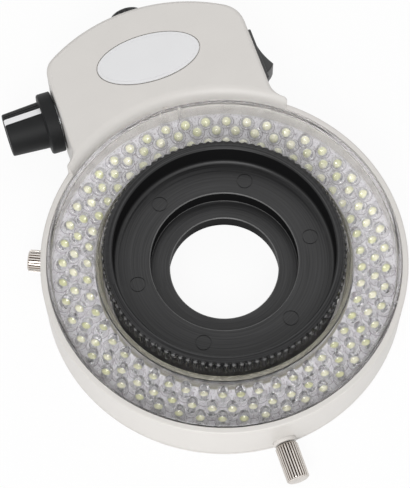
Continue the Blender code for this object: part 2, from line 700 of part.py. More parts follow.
def make_back_cover(form, parts, cutters):
    """Cut the back plate from the outer form and add its sleeve, bosses and standoffs."""
    cover = link("back_cover", form.data.copy(), parts, "case_plastic")
    above = tool_group("cover_above", cutters)
    wide_slab("above_parting", PLATE_THICKNESS, BOX_TOP + OVERRUN, above)
    boolean(cover, above, "DIFFERENCE")
    adds = tool_group("cover_adds", cutters)
    sleeve_outer = BORE_RADIUS + SLEEVE_WALL
    low = PLATE_THICKNESS / 2
    rod("sleeve", (0.0, 0.0, low), (0.0, 0.0, SHOULDER_HEIGHT), (sleeve_outer, sleeve_outer),
        BORE_STEPS, adds)
    for name, angle, _ in SCREW_PLACES:
        inner = BORE_RADIUS + SLEEVE_WALL / 2
        rod(f"boss_{name}", around(angle, inner, SCREW_HEIGHT), around(angle, BUSH_END, SCREW_HEIGHT),
            (BOSS_RADIUS, BOSS_RADIUS), BOSS_STEPS, adds)
        web = block(f"web_{name}", (inner, -BOSS_RADIUS, low), (BUSH_END, BOSS_RADIUS, SCREW_HEIGHT),
                    adds)
        turn_about_z(web, angle)
    for index, (x, y) in enumerate(standoff_places()):
        rod(f"standoff_{index + 1}", (x, y, low), (x, y, PLATE_THICKNESS + STANDOFF_HEIGHT),
            (STANDOFF_RADIUS, STANDOFF_RADIUS), SMALL_STEPS, adds)
    boolean(cover, adds, "UNION")
    holes = tool_group("cover_holes", cutters)
    rod("bore", (0.0, 0.0, -OVERRUN), (0.0, 0.0, SHOULDER_HEIGHT + OVERRUN),
        (BORE_RADIUS, BORE_RADIUS), BORE_STEPS, holes)
    head_holes("plate", holes)
    seat = BUSH_RADIUS + GAP
    for name, angle, _ in SCREW_PLACES:
        rod(f"bush_seat_{name}", around(angle, BORE_RADIUS - OVERRUN, SCREW_HEIGHT),
            around(angle, BUSH_END + OVERRUN, SCREW_HEIGHT), (seat, seat), SMALL_STEPS, holes)
    shaft = PLATE_SCREW_RADIUS + GAP
    head = PLATE_HEAD_RADIUS + GAP
    for index, (x, y) in enumerate(plate_screw_places()):
        rod(f"screw_hole_{index + 1}", (x, y, -OVERRUN), (x, y, PLATE_THICKNESS + OVERRUN),
            (shaft, shaft), SMALL_STEPS, holes)
        rod(f"head_seat_{index + 1}", (x, y, -OVERRUN), (x, y, GAP + PLATE_HEAD_HEIGHT),
            (head, head), SMALL_STEPS, holes)
    boolean(cover, holes, "DIFFERENCE")
    return cover


def make_plate_screws(parts, cutters):
    """Make the six slotted screws that hold the back plate."""
    for index, (x, y) in enumerate(plate_screw_places()):
        screw = rod(f"back_screw_{index + 1}", (x, y, PLATE_HEAD_HEIGHT - GAP),
                    (x, y, GAP + PLATE_SCREW_LENGTH), (PLATE_SCREW_RADIUS, PLATE_SCREW_RADIUS),
                    SMALL_STEPS, parts, "steel")
        head = rod(f"screw_head_{index + 1}", (x, y, GAP), (x, y, PLATE_HEAD_HEIGHT),
                   (PLATE_HEAD_RADIUS, PLATE_HEAD_RADIUS), SMALL_STEPS, cutters)
        slot_depth = GAP + PLATE_HEAD_HEIGHT * DRIVE_SLOT_SHARE
        slot = block(f"screw_slot_{index + 1}", (x - PLATE_HEAD_RADIUS, y - DRIVE_SLOT / 2, -OVERRUN),
                     (x + PLATE_HEAD_RADIUS, y + DRIVE_SLOT / 2, slot_depth), cutters)
        boolean(screw, head, "UNION")
        boolean(screw, slot, "DIFFERENCE")


def lamp_shape(cutters):
    """Turn one lamp: a straight barrel with a domed lens, rooted in the board."""
    root = -BOARD_THICKNESS / 2 / math.cos(math.radians(LAMP_TILT))
    profile = [(0.0, LAMP_LENGTH), (LAMP_RADIUS * LAMP_TAPER_SHARE, LAMP_LENGTH - LAMP_DOME),
               (LAMP_RADIUS, root), (0.0, root)]
    return turned("lamp_form", profile, LAMP_STEPS, cutters, closed=False)


def make_led_board(parts, cutters):
    """Make the board and fuse its three rings of inward-leaning lamps to it."""
    profile = [(COVER_OUTER, BOARD_TOP), (COVER_OUTER, BOARD_BOTTOM),
               (BOARD_BORE, BOARD_BOTTOM), (BOARD_BORE, BOARD_TOP)]
    board = turned("led_board", profile, RING_STEPS, parts, "lamp_board")
    lamp = lamp_shape(cutters)
    lean = Matrix.Rotation(math.radians(-LAMP_TILT), 4, "Y")
    shape = bmesh.new()
    for radius, start in LAMP_ROWS:
        for index in range(LAMPS_PER_ROW):
            turn = Matrix.Rotation(math.radians(start + LAMP_PITCH * index), 4, "Z")
            place = turn @ Matrix.Translation((radius, 0.0, BOARD_TOP)) @ lean
            before = len(shape.verts)
            shape.from_mesh(lamp.data)
            shape.verts.ensure_lookup_table()
            bmesh.ops.transform(shape, matrix=place, verts=shape.verts[before:])
    mesh = bpy.data.meshes.new("lamps")
    shape.to_mesh(mesh)
    shape.free()
    bpy.data.objects.remove(lamp, do_unlink=True)
    lamps = link("lamps", mesh, cutters)
    boolean(board, lamps, "UNION")
    return board


def make_clear_cover(parts, cutters):
    """Turn the clear channel over the lamps and cut its spring tabs."""
    under = COVER_TOP - COVER_SKIN
    profile = arc((COVER_OUTER - COVER_ROUND, COVER_TOP - COVER_ROUND), COVER_ROUND, 90.0, 0.0, 2)
    profile += [(COVER_OUTER, COVER_FOOT), (COVER_OUTER - COVER_SKIRT, COVER_FOOT),
                (COVER_OUTER - COVER_SKIRT, under), (COVER_BORE + COVER_SKIRT, under),
                (COVER_BORE + COVER_SKIRT, COVER_FOOT), (COVER_BORE, COVER_FOOT),
                (COVER_BORE, COVER_TOP - COVER_ROUND / 2), (COVER_BORE + COVER_ROUND / 2, COVER_TOP)]
    cover = turned("clear_cover", profile, RING_STEPS, parts, "clear_plastic")
    catches = tool_group("catches", cutters)
    slits = tool_group("slits", cutters)
    for index, angle in enumerate(tab_angles()):
        catch_block(f"catch_{index + 1}", angle, 0.0, catches)
        for side in (-1.0, 1.0):
            edges = sorted((side * TAB_HALF_WIDTH, side * (TAB_HALF_WIDTH - TAB_SLIT)))
            slit = block(f"slit_{index + 1}_{'right' if side > 0.0 else 'left'}",
                         (COVER_OUTER - COVER_SKIRT - GAP, edges[0], COVER_FOOT - OVERRUN),
                         (COVER_OUTER + OVERRUN, edges[1], COVER_FOOT + TAB_LENGTH), slits)
            turn_about_z(slit, angle)
    boolean(cover, catches, "UNION")
    boolean(cover, slits, "DIFFERENCE")
    return cover


def make_adapter_ring(parts, cutters):
    """Turn the adapter ring, add its knurled flange and hollow it from both faces."""
    low = ADAPTER_FOOT
    profile = [(0.0, FLANGE_BOTTOM + FLANGE_SINK), (ADAPTER_RADIUS, FLANGE_BOTTOM + FLANGE_SINK),
               (ADAPTER_RADIUS, low + KNURL_TAPER), (ADAPTER_RADIUS - KNURL_TAPER, low), (0.0, low)]
    ring = turned("adapter_ring", profile, BORE_STEPS, parts, "black_plastic", closed=False)
    levels = ((FLANGE_BOTTOM, 1.0), (ADAPTER_TOP - KNURL_TAPER, 1.0), (ADAPTER_TOP, 0.0))
    flange = star_ring("knurled_flange", KNURL_TEETH, FLANGE_RADIUS, KNURL_DEPTH, levels, cutters)
    boolean(ring, flange, "UNION")
    front = [(0.0, ADAPTER_TOP + OVERRUN), (DISH_RADIUS, ADAPTER_TOP + OVERRUN)]
    front += reversed(arc((DISH_RADIUS - DISH_FILLET, DISH_FLOOR + DISH_FILLET), DISH_FILLET,
                          -90.0, 0.0, FILLET_STEPS))
    front += [(LEDGE_RADIUS, DISH_FLOOR), (LEDGE_RADIUS, LEDGE_FLOOR), (EYE_RADIUS, LEDGE_FLOOR),
              (EYE_RADIUS + EYE_FLARE, HUB_BOTTOM), (EYE_RADIUS + EYE_FLARE, HUB_BOTTOM - OVERRUN),
              (0.0, HUB_BOTTOM - OVERRUN)]
    dish = turned("dish", front, BORE_STEPS, cutters, closed=False)
    boolean(ring, dish, "DIFFERENCE")
    back = [(0.0, HUB_BOTTOM), (HUB_RADIUS, HUB_BOTTOM), (HUB_RADIUS, DISH_FLOOR - DISH_SKIN),
            (POCKET_RADIUS, DISH_FLOOR - DISH_SKIN), (POCKET_RADIUS, -OVERRUN), (0.0, -OVERRUN)]
    pocket = turned("back_pocket", back, BORE_STEPS, cutters, closed=False)
    boolean(ring, pocket, "DIFFERENCE")
    marks = tool_group("ejector_marks", cutters)
    for index in range(EJECTOR_COUNT):
        angle = EJECTOR_START + FULL_TURN * index / EJECTOR_COUNT
        rod(f"ejector_{index + 1}", around(angle, EJECTOR_CIRCLE, DISH_FLOOR - EJECTOR_DEPTH),
            around(angle, EJECTOR_CIRCLE, DISH_FLOOR + DISH_FILLET), (EJECTOR_RADIUS, EJECTOR_RADIUS),
            SMALL_STEPS, marks)
    boolean(ring, marks, "DIFFERENCE")
    return ring


def make_thumb_screw(place, angle, backed_off, parts, cutters):
    """Make one grooved thumb screw, the collar under its head and the bush that it turns in."""
    tip = BORE_RADIUS + backed_off
    axis = bpy.data.objects.new(f"screw_axis_{place}", None)
    axis.location = around(angle, tip, SCREW_HEIGHT)
    axis.rotation_euler = around(angle, 1.0, 0.0).to_track_quat("Z", "Y").to_euler()
    parts.objects.link(axis)
    head_end = SHAFT_LENGTH + HEAD_LENGTH
    levels = ((SHAFT_LENGTH, 0.0), (SHAFT_LENGTH + HEAD_CHAMFER, 1.0),
              (head_end - HEAD_CHAMFER, 1.0), (head_end, 0.0))
    head = star_ring(f"head_{place}", HEAD_GROOVES, HEAD_RADIUS, GROOVE_DEPTH, levels, cutters)
    screw = rod(f"thumb_screw_{place}", (0.0, 0.0, 0.0), (0.0, 0.0, SHAFT_LENGTH + HEAD_CHAMFER),
                (SHAFT_RADIUS, SHAFT_RADIUS), SMALL_STEPS, parts, "nickel")
    screw.data.transform(screw.matrix_basis)
    screw.location = (0.0, 0.0, 0.0)
    screw.parent = axis
    head.parent = axis
    boolean(screw, head, "UNION")
    bore = SHAFT_RADIUS + GAP
    collar_top = SHAFT_LENGTH - GAP
    profile = [(HEAD_RADIUS, collar_top), (HEAD_RADIUS, collar_top - COLLAR_THICKNESS),
               (bore, collar_top - COLLAR_THICKNESS), (bore, collar_top)]
    collar = turned(f"screw_collar_{place}", profile, NUT_STEPS, parts, "case_plastic")
    collar.parent = axis
    bush = rod(f"screw_bush_{place}", around(angle, BUSH_START, SCREW_HEIGHT),
               around(angle, BUSH_END, SCREW_HEIGHT), (BUSH_RADIUS, BUSH_RADIUS), SMALL_STEPS, parts,
               "brass")
    hole = rod(f"bush_bore_{place}", around(angle, BUSH_START - OVERRUN, SCREW_HEIGHT),
               around(angle, BUSH_END + OVERRUN, SCREW_HEIGHT), (bore, bore), SMALL_STEPS, cutters)
    boolean(bush, hole, "DIFFERENCE")


def along_axis(item, axis):
    """Hang an object on an axis empty, in the empty's own frame."""
    item.parent = axis
    return item


def make_dimmer(parts, cutters):
    """Make the knob with its pointer, and the potentiometer behind the left wall."""
    axis = bpy.data.objects.new("dimmer_axis", None)
    axis.location = (-BOX_LEFT, KNOB_Y, KNOB_HEIGHT)
    axis.rotation_euler = (0.0, math.radians(-90.0), 0.0)
    parts.objects.link(axis)
    base = KNOB_STANDOFF
    skirt_top = base + SKIRT_WIDTH
    tip = skirt_top + BARREL_LENGTH
    hollow = SKIRT_RADIUS - SKIRT_WALL
    bore = DIAL_SHAFT_RADIUS + GAP
    bore_end = tip - DIAL_SHAFT_END
    floor = skirt_top - GAP
    profile = [(0.0, tip)]
    profile += arc((BARREL_TIP_RADIUS - KNOB_ROUND, tip - KNOB_ROUND), KNOB_ROUND, 90.0, 0.0, 2)
    profile += [(BARREL_BASE_RADIUS, skirt_top)]
    profile += arc((SKIRT_RADIUS - KNOB_ROUND, skirt_top - KNOB_ROUND), KNOB_ROUND, 90.0, 0.0, 2)
    profile += [(SKIRT_RADIUS, base), (hollow, base), (hollow, floor), (bore, floor),
                (bore, bore_end), (0.0, bore_end)]
    knob = turned("dimmer_knob", profile, KNOB_STEPS, parts, "black_plastic", closed=False)
    along_axis(knob, axis)
    half = POINTER_WIDTH / 2
    seat = BARREL_TIP_RADIUS - POINTER_DEPTH
    slot = block("pointer_slot", (seat, -half - GAP, skirt_top), (BARREL_BASE_RADIUS + OVERRUN,
                 half + GAP, tip + OVERRUN), cutters)
    pointer = block("knob_pointer", (seat + GAP, -half, skirt_top + GAP),
                    (BARREL_TIP_RADIUS, half, tip - KNOB_ROUND), parts, "white_plastic")
    for item in (slot, pointer):
        item.matrix_world = Matrix.Rotation(math.radians(POINTER_ANGLE), 4, "Z") @ Matrix.Translation(
            item.location)
        along_axis(item, axis)
    boolean(knob, slot, "DIFFERENCE")
    shaft_low = -BOX_WALL - CAN_DEPTH / 2
    shaft = rod("potentiometer_shaft", (0.0, 0.0, shaft_low), (0.0, 0.0, bore_end - GAP),
                (DIAL_SHAFT_RADIUS, DIAL_SHAFT_RADIUS), SMALL_STEPS, parts, "steel")
    along_axis(shaft, axis)
    can_top = -BOX_WALL - GAP
    washer_top = GAP + WASHER_THICKNESS
    nut_top = washer_top + GAP + NUT_THICKNESS
    profile = [(NECK_RADIUS, nut_top), (NECK_RADIUS, can_top), (CAN_RADIUS, can_top),
               (CAN_RADIUS, can_top - CAN_DEPTH), (0.0, can_top - CAN_DEPTH)]
    inner = [(0.0, shaft_low - GAP), (bore, shaft_low - GAP), (bore, nut_top)]
    body = turned("potentiometer_body", inner + profile, NUT_STEPS, parts, "steel", closed=False)
    along_axis(body, axis)
    ring = NECK_RADIUS + GAP
    washer_reach = NUT_ACROSS_FLATS / 2 + GAP
    profile = [(washer_reach, washer_top), (washer_reach, GAP), (ring, GAP), (ring, washer_top)]
    washer = turned("potentiometer_washer", profile, NUT_STEPS, parts, "steel")
    along_axis(washer, axis)
    nut_reach = NUT_ACROSS_FLATS / 2 * HEX_SPREAD
    nut = rod("potentiometer_nut", (0.0, 0.0, washer_top + GAP), (0.0, 0.0, nut_top),
              (nut_reach, nut_reach), HEX_SIDES, parts, "nickel")
    along_axis(nut, axis)
    hole = rod("nut_bore", (0.0, 0.0, 0.0), (0.0, 0.0, nut_top + OVERRUN), (ring, ring), BOSS_STEPS,
               cutters)
    along_axis(hole, axis)
    boolean(nut, hole, "DIFFERENCE")


def rocker_outline():
    """Return the rocker's side outline about its pivot, U along its length and V outward."""
    tip_angle = math.degrees(math.atan2(ROCKER_TIP, ROCKER_HALF_LENGTH))
    right = arc((0.0, 0.0), ROCKER_SWING, -ROCKER_UNDERCUT, tip_angle, CORNER_STEPS + 1)
    left = [(-u, v) for u, v in reversed(right)]
    dip_radius = (ROCKER_HALF_LENGTH ** 2 + ROCKER_DIP ** 2) / (2 * ROCKER_DIP)
    spread = math.degrees(math.asin(ROCKER_HALF_LENGTH / dip_radius))
    centre = (0.0, ROCKER_TIP - ROCKER_DIP + dip_radius)
    return right + arc(centre, dip_radius, spread - 90.0, -spread - 90.0, CORNER_STEPS)[1:-1] + left


def make_switch(parts, cutters):
    """Make the switch's bezel and body, its two terminals and the rocker on its pivot."""
    low_z, high_z = SWITCH_HEIGHT - BEZEL_HALF_HEIGHT, SWITCH_HEIGHT + BEZEL_HALF_HEIGHT
    frame = block("switch_frame", (BOX_RIGHT + GAP, SWITCH_Y - BEZEL_HALF_LENGTH, low_z),
                  (BEZEL_FACE, SWITCH_Y + BEZEL_HALF_LENGTH, high_z), parts, "black_plastic")
    round_edges(frame, BEZEL_THICKNESS * BEZEL_ROUND_SHARE, 2)
    body_length = WELL_HALF_LENGTH + SWITCH_WALL
    body_height = WELL_HALF_HEIGHT + SWITCH_WALL
    body = block("switch_body", (SWITCH_END, SWITCH_Y - body_length, SWITCH_HEIGHT - body_height),
                 (BEZEL_FACE - BEZEL_THICKNESS / 2, SWITCH_Y + body_length,
                  SWITCH_HEIGHT + body_height), cutters)
    boolean(frame, body, "UNION")
    cuts = tool_group("switch_cuts", cutters)
    block("switch_well", (WELL_FLOOR, SWITCH_Y - WELL_HALF_LENGTH, SWITCH_HEIGHT - WELL_HALF_HEIGHT),
          (BEZEL_FACE + OVERRUN, SWITCH_Y + WELL_HALF_LENGTH, SWITCH_HEIGHT + WELL_HALF_HEIGHT), cuts)
    pin_hole = TRUNNION_RADIUS + GAP
    rod("pivot_hole", (PIVOT_X, SWITCH_Y, SWITCH_HEIGHT - body_height - OVERRUN),
        (PIVOT_X, SWITCH_Y, SWITCH_HEIGHT + body_height + OVERRUN), (pin_hole, pin_hole),
        SMALL_STEPS, cuts)
    for index, side in enumerate((-1.0, 1.0)):
        y = SWITCH_Y + side * TERMINAL_SPREAD
        half_width, half_thick = TERMINAL_WIDTH / 2, TERMINAL_THICKNESS / 2
        block(f"terminal_slot_{index + 1}",
              (SWITCH_END - OVERRUN, y - half_thick - GAP, SWITCH_HEIGHT - half_width - GAP),
              (SWITCH_END + TERMINAL_THICKNESS, y + half_thick + GAP,
               SWITCH_HEIGHT + half_width + GAP), cuts)
        block(f"switch_terminal_{index + 1}",
              (SWITCH_END - TERMINAL_LENGTH, y - half_thick, SWITCH_HEIGHT - half_width),
              (SWITCH_END + TERMINAL_THICKNESS - GAP, y + half_thick, SWITCH_HEIGHT + half_width),
              parts, "brass")
    boolean(frame, cuts, "DIFFERENCE")
    axis = bpy.data.objects.new("rocker_axis", None)
    axis.location = (PIVOT_X, SWITCH_Y, SWITCH_HEIGHT)
    axis.rotation_euler = (0.0, 0.0, math.radians(-90.0 + ROCKER_SLOPE))
    parts.objects.link(axis)
    rocker = plate("switch_rocker", rocker_outline(), -ROCKER_HALF_HEIGHT, ROCKER_HALF_HEIGHT, parts,
                   "black_plastic")
    rocker.parent = axis
    reach = WELL_HALF_HEIGHT + SWITCH_WALL - GAP
    pin = rod("trunnions", (0.0, 0.0, -reach), (0.0, 0.0, reach), (TRUNNION_RADIUS, TRUNNION_RADIUS),
              SMALL_STEPS, cutters)
    pin.parent = axis
    boolean(rocker, pin, "UNION")


def round_edges(item, width, segments):
    """Round every sharp edge of an object with a Bevel modifier."""
    bevel = item.modifiers.new("round", "BEVEL")
    bevel.width = width
    bevel.segments = segments
    bevel.limit_method = "ANGLE"
    bevel.angle_limit = math.radians(ROUND_ANGLE)
    return item


def make_cord_gland(parts, cutters):
    """Turn the cord gland and make the nut that holds it inside the back wall."""
    axis = bpy.data.objects.new("gland_axis", None)
    axis.location = (GLAND_X, BOX_BACK, GLAND_HEIGHT)
    axis.rotation_euler = (math.radians(-90.0), 0.0, 0.0)
    parts.objects.link(axis)
    face = GAP
    tip = face + GLAND_REACH
    nut_far = -BOX_WALL - GLAND_SAG - GAP - GLAND_NUT_THICKNESS
    neck_end = nut_far - GAP
    profile = [(GLAND_BORE_RADIUS, tip)]
    profile += arc((GLAND_RADIUS - GLAND_ROUND, tip - GLAND_ROUND), GLAND_ROUND, 90.0, 0.0, 3)
    profile += [(GLAND_RADIUS, face), (GLAND_NECK_RADIUS, face), (GLAND_NECK_RADIUS, neck_end),
                (GLAND_BORE_RADIUS, neck_end)]
    gland = turned("cord_gland", profile, NUT_STEPS, parts, "black_plastic")
    gland.parent = axis
    nut_reach = GLAND_NUT_FLATS / 2 * HEX_SPREAD
    nut = rod("gland_nut", (0.0, 0.0, nut_far), (0.0, 0.0, nut_far + GLAND_NUT_THICKNESS),
              (nut_reach, nut_reach), HEX_SIDES, parts, "black_plastic")
    nut.parent = axis
    bore = GLAND_NECK_RADIUS + GAP
    hole = rod("gland_nut_bore", (0.0, 0.0, nut_far - OVERRUN), (0.0, 0.0, OVERRUN), (bore, bore),
               BOSS_STEPS, cutters)
    hole.parent = axis
    boolean(nut, hole, "DIFFERENCE")


def make_label(parts):
    """Make the bare oval plate in its recess on the box."""
    outline = oval((LABEL_X, LABEL_Y), LABEL_HALF_LENGTH, LABEL_HALF_WIDTH, LABEL_STEPS)
    seat = BOX_TOP - LABEL_RECESS + GAP
    return plate("label_plate", outline, seat, seat + LABEL_THICKNESS, parts, "silver_label")


def standoff_places():
    """Return the places of the driver board's four standoffs."""
    x = DRIVER_HALF_WIDTH - STANDOFF_INSET
    return [(side * x, y) for side in (-1.0, 1.0)
            for y in (DRIVER_FRONT + STANDOFF_INSET, DRIVER_REAR - STANDOFF_INSET)]


def make_driver(parts, cutters):
    """Make the driver board and the parts that stand on it."""
    block("driver_board", (-DRIVER_HALF_WIDTH, DRIVER_FRONT, DRIVER_BOTTOM),
          (DRIVER_HALF_WIDTH, DRIVER_REAR, DRIVER_TOP), parts, "circuit_board")
    middle = DRIVER_REAR - COIL_DEPTH / 2 - CORE_REACH - GAP
    half_width, half_depth = COIL_WIDTH / 2, COIL_DEPTH / 2
    coil = block("transformer", (-half_width, middle - half_depth, PART_SEAT),
                 (half_width, middle + half_depth, PART_SEAT + COIL_HEIGHT), parts, "copper_winding")
    round_edges(coil, CORE_REACH, 2)
    core = block("transformer_core", (-CORE_WIDTH / 2, middle - half_depth - CORE_REACH, PART_SEAT),
                 (CORE_WIDTH / 2, middle + half_depth + CORE_REACH, PART_SEAT + COIL_HEIGHT + CORE_REACH),
                 cutters)
    boolean(coil, core, "UNION")
    right = DRIVER_HALF_WIDTH - FILM_CAP_WIDTH - GAP
    film = block("mains_capacitor", (right, DRIVER_REAR - FILM_CAP_DEPTH - GAP, PART_SEAT),
                 (right + FILM_CAP_WIDTH, DRIVER_REAR - GAP, PART_SEAT + FILM_CAP_HEIGHT), parts,
                 "blue_case")
    round_edges(film, CORE_REACH / 2, 2)
    can_x = -DRIVER_HALF_WIDTH + CAN_CAP_RADIUS + STANDOFF_INSET
    can_y = DRIVER_REAR - CAN_CAP_RADIUS - GAP
    profile = [(0.0, PART_SEAT + CAN_CAP_HEIGHT)]
    profile += [(CAN_CAP_RADIUS - GAP, PART_SEAT + CAN_CAP_HEIGHT),
                (CAN_CAP_RADIUS, PART_SEAT + CAN_CAP_HEIGHT - GAP), (CAN_CAP_RADIUS, PART_SEAT),
                (0.0, PART_SEAT)]
    can = turned("output_capacitor", profile, SMALL_STEPS, parts, "black_plastic", closed=False)
    can.location = (can_x, can_y, 0.0)
    plug_rear = DRIVER_FRONT + PLUG_DEPTH
    block("board_connector", (-PLUG_WIDTH / 2, DRIVER_FRONT, PART_SEAT),
          (PLUG_WIDTH / 2, plug_rear, PART_SEAT + PLUG_HEIGHT), parts, "white_plastic")


def make_leads(parts):
    """Run the two leads from the connector through the notch to the lamp board."""
    start_z = PART_SEAT + PLUG_HEIGHT / 2
    low_z = SCREW_HEIGHT
    board_y = SHOULDER_RADIUS - LEAD_NOTCH_HALF
    start_y = DRIVER_FRONT - GAP
    for name, side, finish in (("led_lead_red", -1.0, "red_wire"), ("led_lead_black", 1.0, "black_plastic")):
        x = side * LEAD_SPREAD
        corners = [Vector((x, start_y, start_z)), Vector((x, CAVITY_FRONT + LEAD_NOTCH_HALF / 2, start_z)),
                   Vector((x, CAVITY_FRONT - LEAD_NOTCH_HALF / 2, low_z)),
                   Vector((x, board_y, low_z)), Vector((x, board_y, BOARD_BOTTOM - GAP))]
        curve = bpy.data.curves.new(name, "CURVE")
        curve.dimensions = "3D"
        curve.bevel_depth = LEAD_RADIUS
        curve.bevel_resolution = 1
        curve.use_fill_caps = True
        points = rounded_route(corners)
        spline = curve.splines.new("POLY")
        spline.points.add(len(points) - 1)
        for target, point in zip(spline.points, points):
            target.co = (*point, 1.0)
        lead = bpy.data.objects.new(name, curve)
        parts.objects.link(lead)
        settle(lead, parts, finish)


def rounded_route(corners):
    """Return the route through some corners, each one rounded by a short curve."""
    points = [corners[0]]
    for before, corner, after in zip(corners, corners[1:], corners[2:]):
        reach = min((corner - before).length, (after - corner).length) * ROUTE_SHARE
        first = corner + (before - corner).normalized() * reach
        last = corner + (after - corner).normalized() * reach
        for index in range(ROUTE_STEPS + 1):
            share = index / ROUTE_STEPS
            points.append(first.lerp(corner, share).lerp(corner.lerp(last, share), share))
    points.append(corners[-1])
    return points


def build():
    """Build the whole lamp."""
    clear_scene()
    root = bpy.context.scene.collection
    parts = make_collection("microscope_ring_light", root)
    cutters = make_collection("cutters", root)
    form = outer_form(cutters)
    make_housing(form, parts, cutters)
    make_back_cover(form, parts, cutters)
    make_plate_screws(parts, cutters)
    make_led_board(parts, cutters)
    make_clear_cover(parts, cutters)
    make_adapter_ring(parts, cutters)
    for place, angle, backed_off in SCREW_PLACES:
        make_thumb_screw(place, angle, backed_off, parts, cutters)
    make_dimmer(parts, cutters)
    make_switch(parts, cutters)
    make_cord_gland(parts, cutters)
    make_label(parts)
    make_driver(parts, cutters)
    make_leads(parts)


build()
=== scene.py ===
"""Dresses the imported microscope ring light: case, lamps, clear cover, adapter ring and controls.

Every size is in millimetres in the classes and turned into metres when a mesh is made. The
origin is the centre of the mounting bore on the plane that the lamp rests on, +Z up, and the
control box points along +Y.
"""

import json
import logging
import math
import random
from collections.abc import Callable, Iterable, Sequence
from dataclasses import dataclass
from enum import Enum
from functools import cache

import bmesh
import bpy
from mathutils import Matrix, Vector

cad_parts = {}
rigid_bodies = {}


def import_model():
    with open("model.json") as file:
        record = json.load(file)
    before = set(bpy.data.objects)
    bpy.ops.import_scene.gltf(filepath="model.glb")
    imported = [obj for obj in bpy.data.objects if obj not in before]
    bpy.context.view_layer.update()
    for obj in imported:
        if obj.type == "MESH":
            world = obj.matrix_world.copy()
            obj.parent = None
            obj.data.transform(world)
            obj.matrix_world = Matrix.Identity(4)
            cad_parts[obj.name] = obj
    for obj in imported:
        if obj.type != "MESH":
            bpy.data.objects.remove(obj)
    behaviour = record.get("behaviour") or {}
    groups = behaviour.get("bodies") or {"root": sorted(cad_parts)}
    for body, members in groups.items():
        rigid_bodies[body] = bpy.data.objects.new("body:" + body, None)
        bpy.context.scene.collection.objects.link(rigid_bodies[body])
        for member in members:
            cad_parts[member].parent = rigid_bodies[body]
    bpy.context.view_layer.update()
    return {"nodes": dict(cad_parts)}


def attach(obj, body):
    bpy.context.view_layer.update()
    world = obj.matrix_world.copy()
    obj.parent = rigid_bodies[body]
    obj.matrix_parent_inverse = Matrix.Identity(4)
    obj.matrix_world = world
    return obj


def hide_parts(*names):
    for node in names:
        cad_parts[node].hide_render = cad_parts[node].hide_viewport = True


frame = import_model()
log = logging.getLogger("ring_light")

Point = tuple[float, float]
Triple = tuple[float, float, float]
Colour = Triple
Socket = bpy.types.NodeSocket
Piece = bpy.types.Object

# One millimetre in metres, and a whole turn in degrees.
MM = 0.001
FULL_TURN = 360.0
# How far a tool passes the face that it cuts, and how far a small tool does.
OVERRUN = 2.0
SKIM = 1.0
# Facets round the case, the name plate, a post and a pilot hole, and along a rounded edge.
RING_STEPS = 192
OVAL_STEPS = 96
POST_STEPS = 24
PILOT_STEPS = 16
EDGE_STEPS = 3
# Points closer than MELT become one. Points within LEVEL of a height lie on it.
MELT = 0.0005
LEVEL = 0.0001
# A corner that is flatter than this angle isn't rounded.
FLAT_BEND = 150.0
# The bevel profile that is a true arc, and the pull of large faces on the shading.
HALF_ROUND = 0.5
EVEN_WEIGHT = 60
# White, the whole range of a value, and the range that most of a noise keeps to.
WHITE = (1.0, 1.0, 1.0)
FULL = (0.0, 1.0)
CLOUDY = (0.3, 0.7)

# Places that more than one sub-assembly uses.
BORE = 30.5
BOX_BACK = 75.5
BOX_LEFT = 28.0
BOX_RIGHT = 27.0
BOX_TOP = 21.0
SCREW_HEIGHT = 4.5
SCREW_HEAD = 2.95
SCREW_ANGLES = {"front": 270.0, "left": 156.0, "right": 38.0}
KNOB_ALONG, KNOB_HEIGHT = 55.05, 10.0
GLAND_ACROSS, GLAND_HEIGHT = -1.4, 9.8
LABEL_CENTRE = (-1.0, 59.6)
LABEL_HALF = (14.0, 6.9)


class Body(Enum):
    """The moving groups of the lamp."""

    LAMP = "lamp"
    DIMMER = "dimmer"
    ROCKER = "rocker"
    ADAPTER = "adapter"
    SCREW_FRONT = "screw_front"
    SCREW_LEFT = "screw_left"
    SCREW_RIGHT = "screw_right"


class Cut(Enum):
    """How a tool changes a solid."""

    ADD = "UNION"
    TAKE = "DIFFERENCE"


